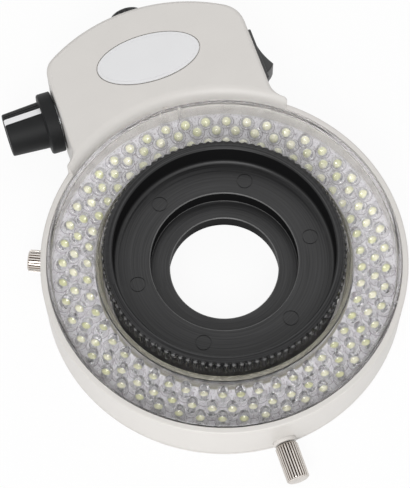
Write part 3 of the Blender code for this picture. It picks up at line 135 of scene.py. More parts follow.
class Graph:
    """The node tree of a material or of the world, with short ways to add what it needs."""

    def __init__(self, owner: bpy.types.Material | bpy.types.World) -> None:
        """Start the owner's node tree."""
        owner.use_nodes = True
        self.tree = owner.node_tree

    def node(self, kind: str, **values: object) -> bpy.types.Node:
        """Add a node and set its own properties.

        Args:
            kind: the node's type, without its prefix.
            **values: properties of the node.

        Returns:
            The new node.
        """
        made = self.tree.nodes.new(f"ShaderNode{kind}")
        for key, value in values.items():
            setattr(made, key, value)
        return made

    def wire(self, value: Socket | Colour | float, target: Socket) -> None:
        """Join a socket to an input, or set the input to a plain colour or number.

        Args:
            value: the socket, colour or number.
            target: the input that takes it.
        """
        if isinstance(value, Socket):
            self.tree.links.new(value, target)
        else:
            target.default_value = (*value, 1.0) if isinstance(value, tuple) else value

    def surface(self, entries: dict[str, Socket | Colour | float]) -> None:
        """Wire or set the named entries of the Principled shader."""
        for entry, value in entries.items():
            self.wire(value, self.tree.nodes["Principled BSDF"].inputs[entry])

    def place(self) -> Socket:
        """Return the piece's own coordinates."""
        return self.node("TexCoord").outputs["Object"]

    def reach(self) -> Socket:
        """Measure the distance from the piece's own Z axis.

        Returns:
            The socket of the distance, in metres.
        """
        flat = self.node("Mapping")
        flat.inputs["Scale"].default_value = (1.0, 1.0, 0.0)
        self.wire(self.place(), flat.inputs["Vector"])
        made = self.node("VectorMath", operation="LENGTH")
        self.wire(flat.outputs["Vector"], made.inputs[0])
        return made.outputs["Value"]

    def groove(self) -> Socket:
        """Return how deep a fluted piece is cut here, from 0 on the ribs to 1 at the bottom."""
        return self.node("Attribute", attribute_name="groove").outputs["Fac"]

    def noise(self, grain: float, detail: float = 2.0) -> Socket:
        """Return noise on the piece's own coordinates.

        Args:
            grain: width of one grain, in millimetres.
            detail: number of finer layers on top.

        Returns:
            The noise's value socket.
        """
        made = self.node("TexNoise")
        self.wire(1.0 / (grain * MM), made.inputs["Scale"])
        self.wire(detail, made.inputs["Detail"])
        self.wire(self.place(), made.inputs["Vector"])
        return made.outputs["Fac"]

    def rings(self, pitch: float, detail: float = 3.0) -> Socket:
        """Return noise that runs in broken rings round the piece's own Z axis.

        Args:
            pitch: distance from one ring to the next, in millimetres.
            detail: number of finer layers on top.

        Returns:
            The noise's value socket.
        """
        parts = self.node("SeparateXYZ")
        self.wire(self.place(), parts.inputs[0])
        polar = self.node("CombineXYZ")
        self.wire(self.math("MULTIPLY", self.reach(), 1.0 / (pitch * MM)), polar.inputs[0])
        self.wire(self.math("ARCTAN2", parts.outputs["Y"], parts.outputs["X"]), polar.inputs[1])
        made = self.node("TexNoise", noise_dimensions="2D")
        self.wire(1.0, made.inputs["Scale"])
        self.wire(detail, made.inputs["Detail"])
        self.wire(polar.outputs[0], made.inputs["Vector"])
        return made.outputs["Fac"]

    def ramp(self, value: Socket, stops: Sequence[tuple[float, Colour]]) -> Socket:
        """Turn a value into a colour.

        Args:
            value: the value to read.
            stops: where on the ramp each colour stands.

        Returns:
            The colour socket.
        """
        made = self.node("ValToRGB")
        band = made.color_ramp
        while len(band.elements) < len(stops):
            band.elements.new(0.5)
        for element, (place, colour) in zip(band.elements, stops):
            element.position = place
            element.color = (*colour, 1.0)
        self.wire(value, made.inputs["Fac"])
        return made.outputs["Color"]

    def mapped(self, value: Socket, band: Point, result: Point) -> Socket:
        """Map one range of a value to another and hold it there at both ends.

        Args:
            value: the value to read.
            band: the range that it is read over.
            result: the range that it becomes.

        Returns:
            The new value's socket.
        """
        made = self.node("MapRange")
        for key, number in zip(("From Min", "From Max", "To Min", "To Max"), (*band, *result)):
            self.wire(number, made.inputs[key])
        self.wire(value, made.inputs["Value"])
        return made.outputs["Result"]

    def math(self, how: str, first: Socket | float, second: Socket | float) -> Socket:
        """Combine two values.

        Args:
            how: the operation.
            first: the first value.
            second: the second value.

        Returns:
            The result's socket.
        """
        made = self.node("Math", operation=how)
        self.wire(first, made.inputs[0])
        self.wire(second, made.inputs[1])
        return made.outputs[0]

    def band(self, value: Socket, limits: Point, soft: float) -> Socket:
        """Return 1 where a value lies between two limits, with a soft step at each.

        Args:
            value: the value to read.
            limits: the lower and the upper limit.
            soft: width of each step.

        Returns:
            The socket of the value between 0 and 1.
        """
        low, high = limits
        rise = self.mapped(value, (low - soft, low), FULL)
        return self.math("MULTIPLY", rise, self.mapped(value, (high, high + soft), (1.0, 0.0)))

    def blend(self, share: Socket | float, under: Socket, over: Socket | Colour,
              how: str = "MIX") -> Socket:
        """Lay one colour over another.

        Args:
            share: how much of the upper colour shows.
            under: the lower colour.
            over: the upper colour.
            how: how the two combine.

        Returns:
            The socket of the combined colour.
        """
        made = self.node("Mix", data_type="RGBA", blend_type=how)
        for key, value in (("Factor", share), ("A", under), ("B", over)):
            self.wire(value, made.inputs[key])
        return made.outputs["Result"]

    def bump(self, value: Socket, height: float, strength: float,
             under: Socket | None = None) -> Socket:
        """Return a normal that a height map lifts.

        Args:
            value: the height map.
            height: how far it lifts, in millimetres.
            strength: how strongly it shows.
            under: a normal that it is laid on.

        Returns:
            The normal's socket.
        """
        made = self.node("Bump")
        self.wire(height * MM, made.inputs["Distance"])
        self.wire(strength, made.inputs["Strength"])
        self.wire(value, made.inputs["Height"])
        if under:
            self.wire(under, made.inputs["Normal"])
        return made.outputs["Normal"]

    def seen(self) -> Socket:
        """Tell what is looked at directly, by gloss or through clear plastic.

        Returns:
            The socket that is 1 for such rays and 0 for all other light.
        """
        path = self.node("LightPath").outputs
        direct = self.math("MAXIMUM", path["Is Camera Ray"], path["Is Glossy Ray"])
        return self.math("MAXIMUM", direct, path["Is Transmission Ray"])


def shade(colour: Colour, factor: float) -> Colour:
    """Return a colour made lighter or darker by a factor, up to white."""
    return tuple(min(1.0, channel * factor) for channel in colour)


def around(middle: float, below: float, above: float) -> Point:
    """Return the range from a little below a number to a little above it."""
    return middle - below, middle + above


@dataclass(frozen=True)
class Finish:
    """A named surface finish in one main colour."""

    name: str
    colour: Colour

    def paint(self, graph: Graph) -> None:
        """Wire the finish into a material's node tree."""
        raise NotImplementedError

    def make(self) -> bpy.types.Material:
        """Make the finish's material.

        Returns:
            The new material.
        """
        material = bpy.data.materials.new(self.name)
        self.paint(Graph(material))
        return material


@dataclass(frozen=True)
class Moulded(Finish):
    """Injection-moulded plastic with a fine spark-eroded grain and a slow drift of tone."""

    roughness: float = 0.45
    spread: float = 0.06
    drift: float = 0.03
    cloud: float = 9.0
    grain: float = 0.22
    depth: float = 0.03
    strength: float = 0.35
    specular: float = 0.5

    def paint(self, graph: Graph) -> None:
        """Wire the plastic into a material's node tree.

        Args:
            graph: the node tree of the material.
        """
        slow = graph.noise(self.cloud, detail=3.0)
        fine = graph.noise(self.grain, detail=4.0)
        dark, light = (shade(self.colour, 1.0 + drift) for drift in (-self.drift, self.drift))
        wave = graph.bump(slow, height=0.05, strength=0.2)
        graph.surface({
            "Base Color": graph.ramp(slow, list(zip(CLOUDY, (dark, light)))),
            "Roughness": graph.mapped(fine, FULL, around(self.roughness, self.spread, self.spread)),
            "Normal": graph.bump(fine, self.depth, self.strength, wave),
            "Specular IOR Level": self.specular})


@dataclass(frozen=True)
class Turned(Finish):
    """Black moulding from a turned tool: ringed floors with painted light, shaded walls, painted
    edge highlights.
    """

    # Colour of the tool's turning rings. Only upward floors take it, so it also paints light on
    # them.
    lines: Colour
    # Painted highlight on the slanted strips along the edges.
    edge_highlight: Colour = (0.14, 0.14, 0.14)
    roughness: float = 0.36
    spread: float = 0.07
    specular: float = 0.34
    # Shares of full reflection kept by inner walls, outer walls and the crown. Cutting it paints
    # shade on the walls.
    dull: float = 0.02
    wall: float = 0.45
    crown: float = 0.5
    polish: float = 0.1
    # Radii over which the outside begins, and the radii of the strips of painted highlight along
    # the edges.
    lip: Point = (28.9, 29.1)
    edges: tuple[Point, ...] = ((13.9, 14.45), (18.95, 19.5), (30.75, 31.2))
    edge_soft: float = 0.02
    # How far up a floor, a crown and a slanted strip face, from 0 on a wall to 1.
    floor_tilt: Point = (0.2, 0.85)
    crown_tilt: Point = (0.93, 0.98)
    slant: Point = (0.3, 0.85)
    slant_soft: float = 0.1
    pitch: float = 0.35
    grain: float = 0.25

    def highlight_strips(self, graph: Graph, upward: Socket, reach: Socket) -> Socket:
        """Find the slanted strips along the ring's edges, which take a painted highlight.

        Args:
            graph: the node tree to work in.
            upward: how far the surface faces up.
            reach: distance from the ring's axis.

        Returns:
            The socket that is 1 on the strips of painted highlight.
        """
        near_edge = None
        for limits in self.edges:
            strip = graph.band(reach, tuple(limit * MM for limit in limits), self.edge_soft * MM)
            near_edge = graph.math("MAXIMUM", near_edge, strip) if near_edge else strip
        return graph.math("MULTIPLY", graph.band(upward, self.slant, self.slant_soft), near_edge)

    def paint(self, graph: Graph) -> None:
        """Wire the moulding into a material's node tree.

        Args:
            graph: the node tree of the material.
        """
        facing = graph.node("SeparateXYZ")
        graph.wire(graph.node("NewGeometry").outputs["Normal"], facing.inputs[0])
        upward, reach = facing.outputs["Z"], graph.reach()
        level = graph.mapped(upward, self.floor_tilt, FULL)
        outside = graph.mapped(reach, tuple(limit * MM for limit in self.lip), (0.0, self.wall))
        top = graph.mapped(upward, self.crown_tilt, (0.0, self.crown / self.wall))
        lit = graph.math("SUBTRACT", graph.math("MAXIMUM", level, outside),
                         graph.math("MULTIPLY", outside, top))
        scored = graph.rings(self.pitch)
        ringed = graph.math("MULTIPLY", scored, level)
        # Tool rings on upward floors. Their lighter colour also paints light on the floors.
        plain = graph.ramp(ringed, list(zip(CLOUDY, (self.colour, self.lines))))
        rough = graph.mapped(scored, CLOUDY, around(self.roughness, self.spread, self.spread))
        polish = graph.mapped(outside, (0.0, self.wall), (0.0, self.polish))
        grain = graph.bump(graph.noise(self.grain, detail=4.0), height=0.02, strength=0.25)
        graph.surface({
            # The slanted edge strips take a painted highlight.
            "Base Color": graph.blend(self.highlight_strips(graph, upward, reach), plain, self.edge_highlight),
            "Roughness": graph.math("SUBTRACT", rough, polish),
            # Less reflection on the walls paints shade on them.
            "Specular IOR Level": graph.mapped(lit, FULL,
                                               (self.specular * self.dull, self.specular)),
            "Normal": graph.bump(ringed, height=0.03, strength=0.3, under=grain)})


@dataclass(frozen=True)
class Clear(Finish):
    """Clear moulded plastic with the faint flow marks of its tool."""

    roughness: float = 0.01
    bend: float = 1.22
    ripple: float = 6.0
    depth: float = 0.002
    coat: float = 0.5
    coat_bend: float = 1.5
    flow_shade: float = 0.985

    def paint(self, graph: Graph) -> None:
        """Wire the clear plastic into a material's node tree.

        Args:
            graph: the node tree of the material.
        """
        flow = graph.noise(self.ripple, detail=1.0)
        stops = list(zip(CLOUDY, (shade(self.colour, self.flow_shade), self.colour)))
        graph.surface({
            "Base Color": graph.ramp(flow, stops),
            "Roughness": graph.mapped(flow, FULL, (self.roughness, self.roughness * 2.0)),
            "Normal": graph.bump(flow, self.depth, strength=0.3),
            "IOR": self.bend,
            "Coat Weight": self.coat,
            "Coat IOR": self.coat_bend,
            "Transmission Weight": 1.0})


@dataclass(frozen=True)
class Metal(Finish):
    """Plated or drawn metal, clouded a little, with painted shade in its grooves."""

    roughness: float = 0.28
    grain: float = 0.35
    cloud: float = 2.5
    strength: float = 0.25
    worn: Point = (0.9, 1.06)
    gloss: Point = (0.75, 1.35)
    # Painted shade at the bottom of the grooves.
    groove: Colour = (0.16, 0.11, 0.08)

    def paint(self, graph: Graph) -> None:
        """Wire the metal into a material's node tree.

        Args:
            graph: the node tree of the material.
        """
        lines = graph.noise(self.grain, detail=3.0)
        tones = [shade(self.colour, factor) for factor in self.worn]
        plain = graph.ramp(graph.noise(self.cloud), list(zip((0.25, 0.75), tones)))
        # Painted shade, darker the deeper the groove.
        groove_shade = graph.ramp(graph.groove(), [(0.15, WHITE), (0.7, self.groove)])
        gloss = tuple(self.roughness * factor for factor in self.gloss)
        graph.surface({
            "Base Color": graph.blend(1.0, plain, groove_shade, "MULTIPLY"),
            "Roughness": graph.mapped(lines, FULL, gloss),
            "Normal": graph.bump(lines, height=0.02, strength=self.strength),
            "Metallic": 1.0})


@dataclass(frozen=True)
class Phosphor(Finish):
    """The pale yellow phosphor gel of a white lamp, its tone a little different in each one."""

    edge: Colour
    lamp: float = 3.5
    grain: float = 0.5
    batch: Point = (0.4, 1.4)
    gloss: Point = (0.3, 0.55)

    def paint(self, graph: Graph) -> None:
        """Wire the gel into a material's node tree.

        Args:
            graph: the node tree of the material.
        """
        cloud = graph.noise(self.grain, detail=3.0)
        batch = graph.mapped(graph.noise(self.lamp, detail=0.0), CLOUDY, self.batch)
        tone = graph.math("MULTIPLY", batch, cloud)
        graph.surface({
            "Base Color": graph.ramp(tone, [(0.25, self.colour), (0.62, self.edge)]),
            "Roughness": graph.mapped(cloud, FULL, self.gloss),
            "Normal": graph.bump(cloud, height=0.05, strength=0.3)})


@dataclass(frozen=True)
class SolderMask(Finish):
    """A circuit board's mask with flecks of print and the faint relief of its copper."""

    trace: Colour
    fleck: Colour
    # Bare board along the edges, darkened to paint the shade of the clear cover's skirts, which
    # casts none.
    bare_and_shade: Colour
    pitch: float = 2.4
    trace_edge: Point = (0.22, 0.3)
    dim: float = 0.94
    speck: float = 0.45
    speck_band: Point = (0.56, 0.66)
    speck_share: float = 0.75
    roughness: float = 0.35
    play: Point = (0.08, 0.1)
    # Radii over which the dark strip along the bore ends and the one along the rim begins. Both are
    # bare board, darkened to paint the shade of the clear cover's skirts.
    inside: Point = (33.1, 33.4)
    outside: Point = (44.1, 44.3)
    outside_share: float = 0.25

    def shaded_edge_strips(self, graph: Graph) -> Socket:
        """Find the dark strips along the board's edges: bare board with painted shade under the
        cover's skirts.

        Args:
            graph: the node tree of the material.

        Returns:
            The socket that is 1 on the inner strip and lower on the outer one.
        """
        reach = graph.reach()
        low, high = (tuple(limit * MM for limit in strip) for strip in (self.inside, self.outside))
        return graph.math("MAXIMUM", graph.mapped(reach, low, (1.0, 0.0)),
                          graph.mapped(reach, high, (0.0, self.outside_share)))

    def paint(self, graph: Graph) -> None:
        """Wire the mask into a material's node tree.

        Args:
            graph: the node tree of the material.
        """
        cells = graph.node("TexVoronoi", distance="CHEBYCHEV", feature="F1")
        graph.wire(1.0 / (self.pitch * MM), cells.inputs["Scale"])
        graph.wire(graph.place(), cells.inputs["Vector"])
        copper = cells.outputs["Distance"]
        stops = [(0.0, self.trace), (self.trace_edge[0], self.trace),
                 (self.trace_edge[1], self.colour), (1.0, shade(self.colour, self.dim))]
        specks = graph.mapped(graph.noise(self.speck), self.speck_band, (0.0, self.speck_share))
        printed = graph.blend(specks, graph.ramp(copper, stops), self.fleck)
        fine = graph.noise(0.3, detail=3.0)
        relief = graph.bump(copper, height=0.05, strength=0.4)
        graph.surface({
            # Bare board with painted shade under the cover's skirts.
            "Base Color": graph.blend(self.shaded_edge_strips(graph), printed, self.bare_and_shade),
            "Roughness": graph.mapped(fine, FULL, around(self.roughness, *self.play)),
            "Normal": graph.bump(fine, height=0.01, strength=0.3, under=relief)})


@dataclass(frozen=True)
class Wound(Finish):
    """Tape and enamelled wire wound round a transformer."""

    pitch: float = 0.6
    stray: float = 0.6
    gap_shade: float = 0.55
    gloss: Point = (0.3, 0.5)

    def paint(self, graph: Graph) -> None:
        """Wire the winding into a material's node tree.

        Args:
            graph: the node tree of the material.
        """
        turns = graph.node("TexWave", wave_type="BANDS", bands_direction="Z")
        graph.wire(1.0 / (self.pitch * MM * math.tau), turns.inputs["Scale"])
        graph.wire(self.stray, turns.inputs["Distortion"])
        graph.wire(graph.place(), turns.inputs["Vector"])
        wave = turns.outputs["Fac"]
        stops = [(0.2, shade(self.colour, self.gap_shade)), (0.7, self.colour)]
        graph.surface({
            "Base Color": graph.ramp(wave, stops),
            "Roughness": graph.mapped(graph.noise(0.4), FULL, self.gloss),
            "Normal": graph.bump(wave, height=0.15, strength=0.8)})


@dataclass(frozen=True)
class Palette:
    """One finish for each kind of surface on the lamp."""

    case: Finish = Moulded("case_abs", (0.71, 0.685, 0.655), 0.42, drift=0.012, grain=0.3,
                           depth=0.02, strength=0.3)
    black: Finish = Moulded("moulded_black", (0.014, 0.014, 0.0145), 0.38, drift=0.12,
                            grain=0.25, specular=0.32)
    adapter: Finish = Turned("adapter_black", (0.011, 0.011, 0.0115), (0.036, 0.036, 0.037))
    knob: Finish = Moulded("knob_black", (0.012, 0.0125, 0.013), 0.5, drift=0.15, grain=0.3,
                           strength=0.5, specular=0.16)
    switch: Finish = Moulded("switch_black", (0.02, 0.02, 0.02), 0.4, drift=0.1, grain=0.2)
    white: Finish = Moulded("pointer_white", (0.92, 0.92, 0.93), 0.5, drift=0.02, grain=0.25)
    plate: Finish = Moulded("label_silver", (0.8, 0.8, 0.81), 0.3, drift=0.01, grain=0.18,
                            depth=0.01)
    clear: Finish = Clear("cover_acrylic", (0.93, 0.925, 0.915))
    epoxy: Finish = Clear("lamp_epoxy", (0.995, 0.995, 0.99), bend=1.16, ripple=1.0, depth=0.01,
                          coat=1.0, coat_bend=2.0)
    gel: Finish = Phosphor("phosphor_gel", (0.64, 0.65, 0.36), edge=(0.82, 0.8, 0.62))
    board: Finish = SolderMask("lamp_board_mask", (0.68, 0.67, 0.71), trace=(0.58, 0.57, 0.61),
                               fleck=(0.26, 0.21, 0.24), bare_and_shade=(0.2, 0.19, 0.15))
    circuit: Finish = SolderMask("driver_mask", (0.03, 0.16, 0.08), trace=(0.05, 0.26, 0.13),
                                 fleck=(0.02, 0.1, 0.05), bare_and_shade=(0.03, 0.16, 0.08), pitch=3.0)
    # A dark ring at each lamp's foot, painted shade and outline where the lens meets the board.
    foot_shade: Finish = Moulded("lamp_foot_shade", (0.16, 0.13, 0.16), 0.5, drift=0.2, grain=0.2)
    nickel: Finish = Metal("nickel_plate", (0.66, 0.62, 0.58), 0.26)
    brass: Finish = Metal("turned_brass", (0.72, 0.55, 0.28), 0.3)
    steel: Finish = Metal("zinc_steel", (0.55, 0.56, 0.57), 0.32)
    silver: Finish = Moulded("lead_silver", (0.5, 0.5, 0.52), 0.35, drift=0.1, specular=0.8)
    winding: Finish = Wound("transformer_tape", (0.62, 0.45, 0.1))
    blue: Finish = Moulded("capacitor_blue", (0.06, 0.16, 0.42), 0.4, drift=0.05)
    red_wire: Finish = Moulded("lead_red", (0.5, 0.03, 0.025), 0.42, drift=0.05)


PALETTE = Palette()


@cache
def material_of(finish: Finish) -> bpy.types.Material:
    """Return a finish's material, made once."""
    return finish.make()


def swing(angle: float, axis: str = "Z") -> Matrix:
    """Return a turn by some degrees about an axis."""
    return Matrix.Rotation(math.radians(angle), 4, axis)


def spot(angle: float, radius: float, height: float) -> Vector:
    """Return the point at an angle, radius and height."""
    return swing(angle) @ Vector((radius, 0.0, height))


def arc(centre: Point, radius: float, start: float, end: float, count: int) -> list[Point]:
    """Divide an arc.

    Args:
        centre: the arc's centre.
        radius: the arc's radius.
        start: angle of the first point, in degrees.
        end: angle of the last point, in degrees.
        count: number of steps between them.

    Returns:
        The count + 1 points on the arc.
    """
    turns = [math.radians(start + (end - start) * index / count) for index in range(count + 1)]
    return [(centre[0] + radius * math.cos(turn), centre[1] + radius * math.sin(turn))
            for turn in turns]


def oval(grow: float) -> list[Point]:
    """Draw the name plate's outline.

    Args:
        grow: how much larger it is than the plate, all round.

    Returns:
        The points of the oval.
    """
    (mid_x, mid_y), (half_x, half_y) = LABEL_CENTRE, LABEL_HALF
    return [(mid_x + x * (half_x + grow), mid_y + y * (half_y + grow))
            for x, y in arc((0.0, 0.0), 1.0, 0.0, FULL_TURN, OVAL_STEPS)[:-1]]


def eased(profile: Sequence[Point], radius: float, count: int) -> list[Point]:
    """Round the corners of a closed profile, each by at most a third of its sides.

    Args:
        profile: the corner points.
        radius: how far each corner is cut back.
        count: steps on each rounded corner.

    Returns:
        The finer profile.
    """
    points = [Vector(point) for point in profile]
    result: list[Point] = []
    for index, corner in enumerate(points):
        near, far = points[index - 1] - corner, points[(index + 1) % len(points)] - corner
        if near.angle(far, math.pi) > math.radians(FLAT_BEND):
            result.append(tuple(corner))
            continue
        reach = min(radius, near.length / 3.0, far.length / 3.0)
        first, last = corner + near.normalized() * reach, corner + far.normalized() * reach
        for step in range(count + 1):
            share = step / count
            before, after = first.lerp(corner, share), corner.lerp(last, share)
            result.append(tuple(before.lerp(after, share)))
    return result


def linked(name: str, mesh: bpy.types.Mesh) -> Piece:
    """Put a mesh in the scene.

    Args:
        name: the object's name.
        mesh: the mesh that it shows.

    Returns:
        The new object.
    """
    made = bpy.data.objects.new(name, mesh)
    bpy.context.scene.collection.objects.link(made)
    return made


def settled(name: str, shape: bmesh.types.BMesh) -> Piece:
    """Turn a shape whose lengths are in metres into an object.

    Args:
        name: the object's name.
        shape: the shape, which is freed.

    Returns:
        The new object.
    """
    mesh = bpy.data.meshes.new(name)
    shape.to_mesh(mesh)
    shape.free()
    return linked(name, mesh)


def scaled(name: str, shape: bmesh.types.BMesh) -> Piece:
    """Turn a shape whose lengths are in millimetres into an object with clean normals.

    Args:
        name: the object's name.
        shape: the shape, which is freed.

    Returns:
        The new object.
    """
    bmesh.ops.remove_doubles(shape, verts=shape.verts, dist=MELT)
    bmesh.ops.recalc_face_normals(shape, faces=shape.faces)
    bmesh.ops.scale(shape, vec=(MM, MM, MM), verts=shape.verts)
    return settled(name, shape)


def rounded(shape: bmesh.types.BMesh, edges: list[bmesh.types.BMEdge], width: float,
            steps: int, clamp: bool) -> None:
    """Round some edges of a shape.

    Args:
        shape: the shape.
        edges: the edges to round.
        width: width of the rounding.
        steps: facets of the rounding.
        clamp: whether roundings stop where they would cross.
    """
    bmesh.ops.bevel(shape, geom=edges, offset=width, offset_type="OFFSET", segments=steps,
                    profile=HALF_ROUND, affect="EDGES", clamp_overlap=clamp)


def lathed(name: str, profile: Sequence[Point], steps: int,
           flute: Callable[[float], float] | None = None, shares: Sequence[float] = ()) -> Piece:
    """Turn a closed profile of (radius, height) points round Z.

    Args:
        name: the object's name.
        profile: points in order along the section.
        steps: facets round the turn.
        flute: gives the depth of the flutes at an angle.
        shares: how much of that depth each point of the profile takes.

    Returns:
        The turned object, whose "groove" layer says how deep each point is cut.
    """
    shape = bmesh.new()
    layer = shape.verts.layers.float.new("groove")
    turns = [math.tau * step / steps for step in range(steps)]
    depths = [flute(turn) if flute else 0.0 for turn in turns]
    deepest = max(depths) * max(shares, default=0.0)
    rows = []
    for (radius, height), share in zip(profile, shares or [0.0] * len(profile), strict=True):
        if not radius:
            rows.append([shape.verts.new((0.0, 0.0, height))] * steps)
            continue
        rows.append([])
        for turn, depth in zip(turns, depths):
            cut = depth * share
            reach = radius - cut
            vert = shape.verts.new((reach * math.cos(turn), reach * math.sin(turn), height))
            vert[layer] = cut / deepest if deepest else 0.0
            rows[-1].append(vert)
    for upper, lower in zip(rows, rows[1:] + rows[:1]):
        for step in range(steps):
            after = (step + 1) % steps
            corners = dict.fromkeys((upper[step], upper[after], lower[after], lower[step]))
            if len(corners) > 2:
                shape.faces.new(corners)
    return scaled(name, shape)


def slab(name: str, outline: Sequence[Point], low: float, high: float, edge: float = 0.0,
         steps: int = EDGE_STEPS, foot: float | None = None) -> Piece:
    """Extrude an outline between two heights and round its top and bottom edges.

    Args:
        name: the object's name.
        outline: points of the flat outline.
        low: lower height.
        high: upper height.
        edge: width of the rounding along the top.
        steps: steps of each rounding.
        foot: width of the rounding along the bottom, the same as the top if left out.

    Returns:
        The extruded object.
    """
    shape = bmesh.new()
    base = shape.faces.new([shape.verts.new((x, y, low)) for x, y in outline])
    grown = bmesh.ops.extrude_face_region(shape, geom=[base])["geom"]
    top = [part for part in grown if isinstance(part, bmesh.types.BMVert)]
    bmesh.ops.translate(shape, vec=(0.0, 0.0, high - low), verts=top)
    bmesh.ops.recalc_face_normals(shape, faces=shape.faces)
    for height, width in ((high, edge), (low, edge if foot is None else foot)):
        if width:
            rim = [line for line in shape.edges
                   if all(abs(vert.co.z - height) < LEVEL for vert in line.verts)]
            rounded(shape, rim, width, steps, clamp=False)
    return scaled(name, shape)


def brick(name: str, low: Sequence[float], high: Sequence[float], edge: float = 0.0) -> Piece:
    """Make a box with rounded edges.

    Args:
        name: the object's name.
        low: its lowest corner.
        high: its highest corner.
        edge: width of the roundings.

    Returns:
        The box.
    """
    shape = bmesh.new()
    bmesh.ops.create_cube(shape, size=1.0)
    bmesh.ops.scale(shape, vec=[b - a for a, b in zip(low, high)], verts=shape.verts)
    bmesh.ops.translate(shape, vec=[(a + b) / 2.0 for a, b in zip(low, high)], verts=shape.verts)
    if edge:
        rounded(shape, shape.edges[:], edge, EDGE_STEPS, clamp=True)
    return scaled(name, shape)


def pin(name: str, start: Sequence[float], end: Sequence[float], radius: float,
        steps: int = 48) -> Piece:
    """Make a round bar.

    Args:
        name: the object's name.
        start: the centre of one end.
        end: the centre of the other end.
        radius: the bar's radius.
        steps: facets round it.

    Returns:
        The bar.
    """
    first, last = Vector(start), Vector(end)
    shape = bmesh.new()
    bmesh.ops.create_cone(shape, cap_ends=True, segments=steps, radius1=radius, radius2=radius,
                          depth=(last - first).length)
    turn = (last - first).to_track_quat("Z", "Y").to_matrix().to_4x4()
    centre = Matrix.Translation((first + last) / 2.0)
    bmesh.ops.transform(shape, matrix=centre @ turn, verts=shape.verts)
    return scaled(name, shape)


def in_metres(place: Matrix) -> Matrix:
    """Turn the lengths of a placing from millimetres into metres.

    Args:
        place: the placing in millimetres.

    Returns:
        The placing in metres.
    """
    result = place.copy()
    result.translation *= MM
    return result


def moved(item: Piece, place: Matrix) -> Piece:
    """Move a mesh itself by a matrix whose lengths are in millimetres.

    Args:
        item: the piece.
        place: where it goes.

    Returns:
        The same piece.
    """
    item.data.transform(in_metres(place))
    return item


def bake(item: Piece) -> None:
    """Apply every modifier of an object to its mesh.

    Args:
        item: the object.
    """
    bpy.context.view_layer.update()
    graph = bpy.context.evaluated_depsgraph_get()
    mesh = bpy.data.meshes.new_from_object(item.evaluated_get(graph))
    item.modifiers.clear()
    item.data = mesh


def carve(item: Piece, tools: Iterable[Piece], how: Cut) -> Piece:
    """Join tools to a solid or cut them out of it, then drop them.

    Args:
        item: the solid to change.
        tools: the solids to add or take away.
        how: whether they are added or taken away.

    Returns:
        The same object with its new mesh.
    """
    group = bpy.data.collections.new("tools")
    bpy.context.scene.collection.children.link(group)
    for tool in tools:
        bpy.context.scene.collection.objects.unlink(tool)
        group.objects.link(tool)
    step = item.modifiers.new("carve", "BOOLEAN")
    step.operation = how.value
    step.solver = "EXACT"
    step.operand_type = "COLLECTION"
    step.collection = group
    step.use_self = True
    bake(item)
    for tool in list(group.objects):
        bpy.data.objects.remove(tool, do_unlink=True)
    bpy.data.collections.remove(group)
    return item


def repeated(name: str, part: Piece, places: Iterable[Matrix]) -> Piece:
    """Set a copy of one part at every place, all in one object.

    Args:
        name: the new object's name.
        part: the part, which is dropped.
        places: where the copies stand, in millimetres.

    Returns:
        The new object.
    """
    shape = bmesh.new()
    for place in places:
        before = len(shape.verts)
        shape.from_mesh(part.data)
        shape.verts.ensure_lookup_table()
        bmesh.ops.transform(shape, matrix=in_metres(place), verts=shape.verts[before:])
    bpy.data.objects.remove(part, do_unlink=True)
    return settled(name, shape)


def joined(name: str, items: Sequence[Piece]) -> Piece:
    """Gather separate meshes into one object without cutting them.

    Args:
        name: the new object's name.
        items: the pieces, which are dropped.

    Returns:
        The new object.
    """
    shape = bmesh.new()
    for item in items:
        shape.from_mesh(item.data)
        bpy.data.objects.remove(item, do_unlink=True)
    return settled(name, shape)


def dress(item: Piece, finish: Finish, body: Body, slot: str, *nodes: str,
          crease: float = 32.0) -> None:
    """Shade a piece, give it a finish and tie it to its body.

    A clear piece casts no shadow, so that direct light reaches the lamps and board under it.

    Args:
        item: the piece, in place.
        finish: the finish that covers it.
        body: the moving group that it rides on.
        slot: the name of the material's slot, which is not used.
        *nodes: the solids that it stands for.
        crease: the angle from which an edge stays sharp, in degrees.
    """
    item.data.materials.clear()
    item.data.materials.append(material_of(finish))
    item.data.shade_smooth()
    item.data.set_sharp_from_angle(angle=math.radians(crease))
    even = item.modifiers.new("even", "WEIGHTED_NORMAL")
    even.mode = "FACE_AREA"
    even.weight = EVEN_WEIGHT
    even.keep_sharp = True
    bake(item)
    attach(item, body.value)
    if nodes:
        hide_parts(*nodes)
    item.visible_shadow = not isinstance(finish, Clear)
    log.info("%s: %d faces on %s", item.name, len(item.data.polygons), body.value)


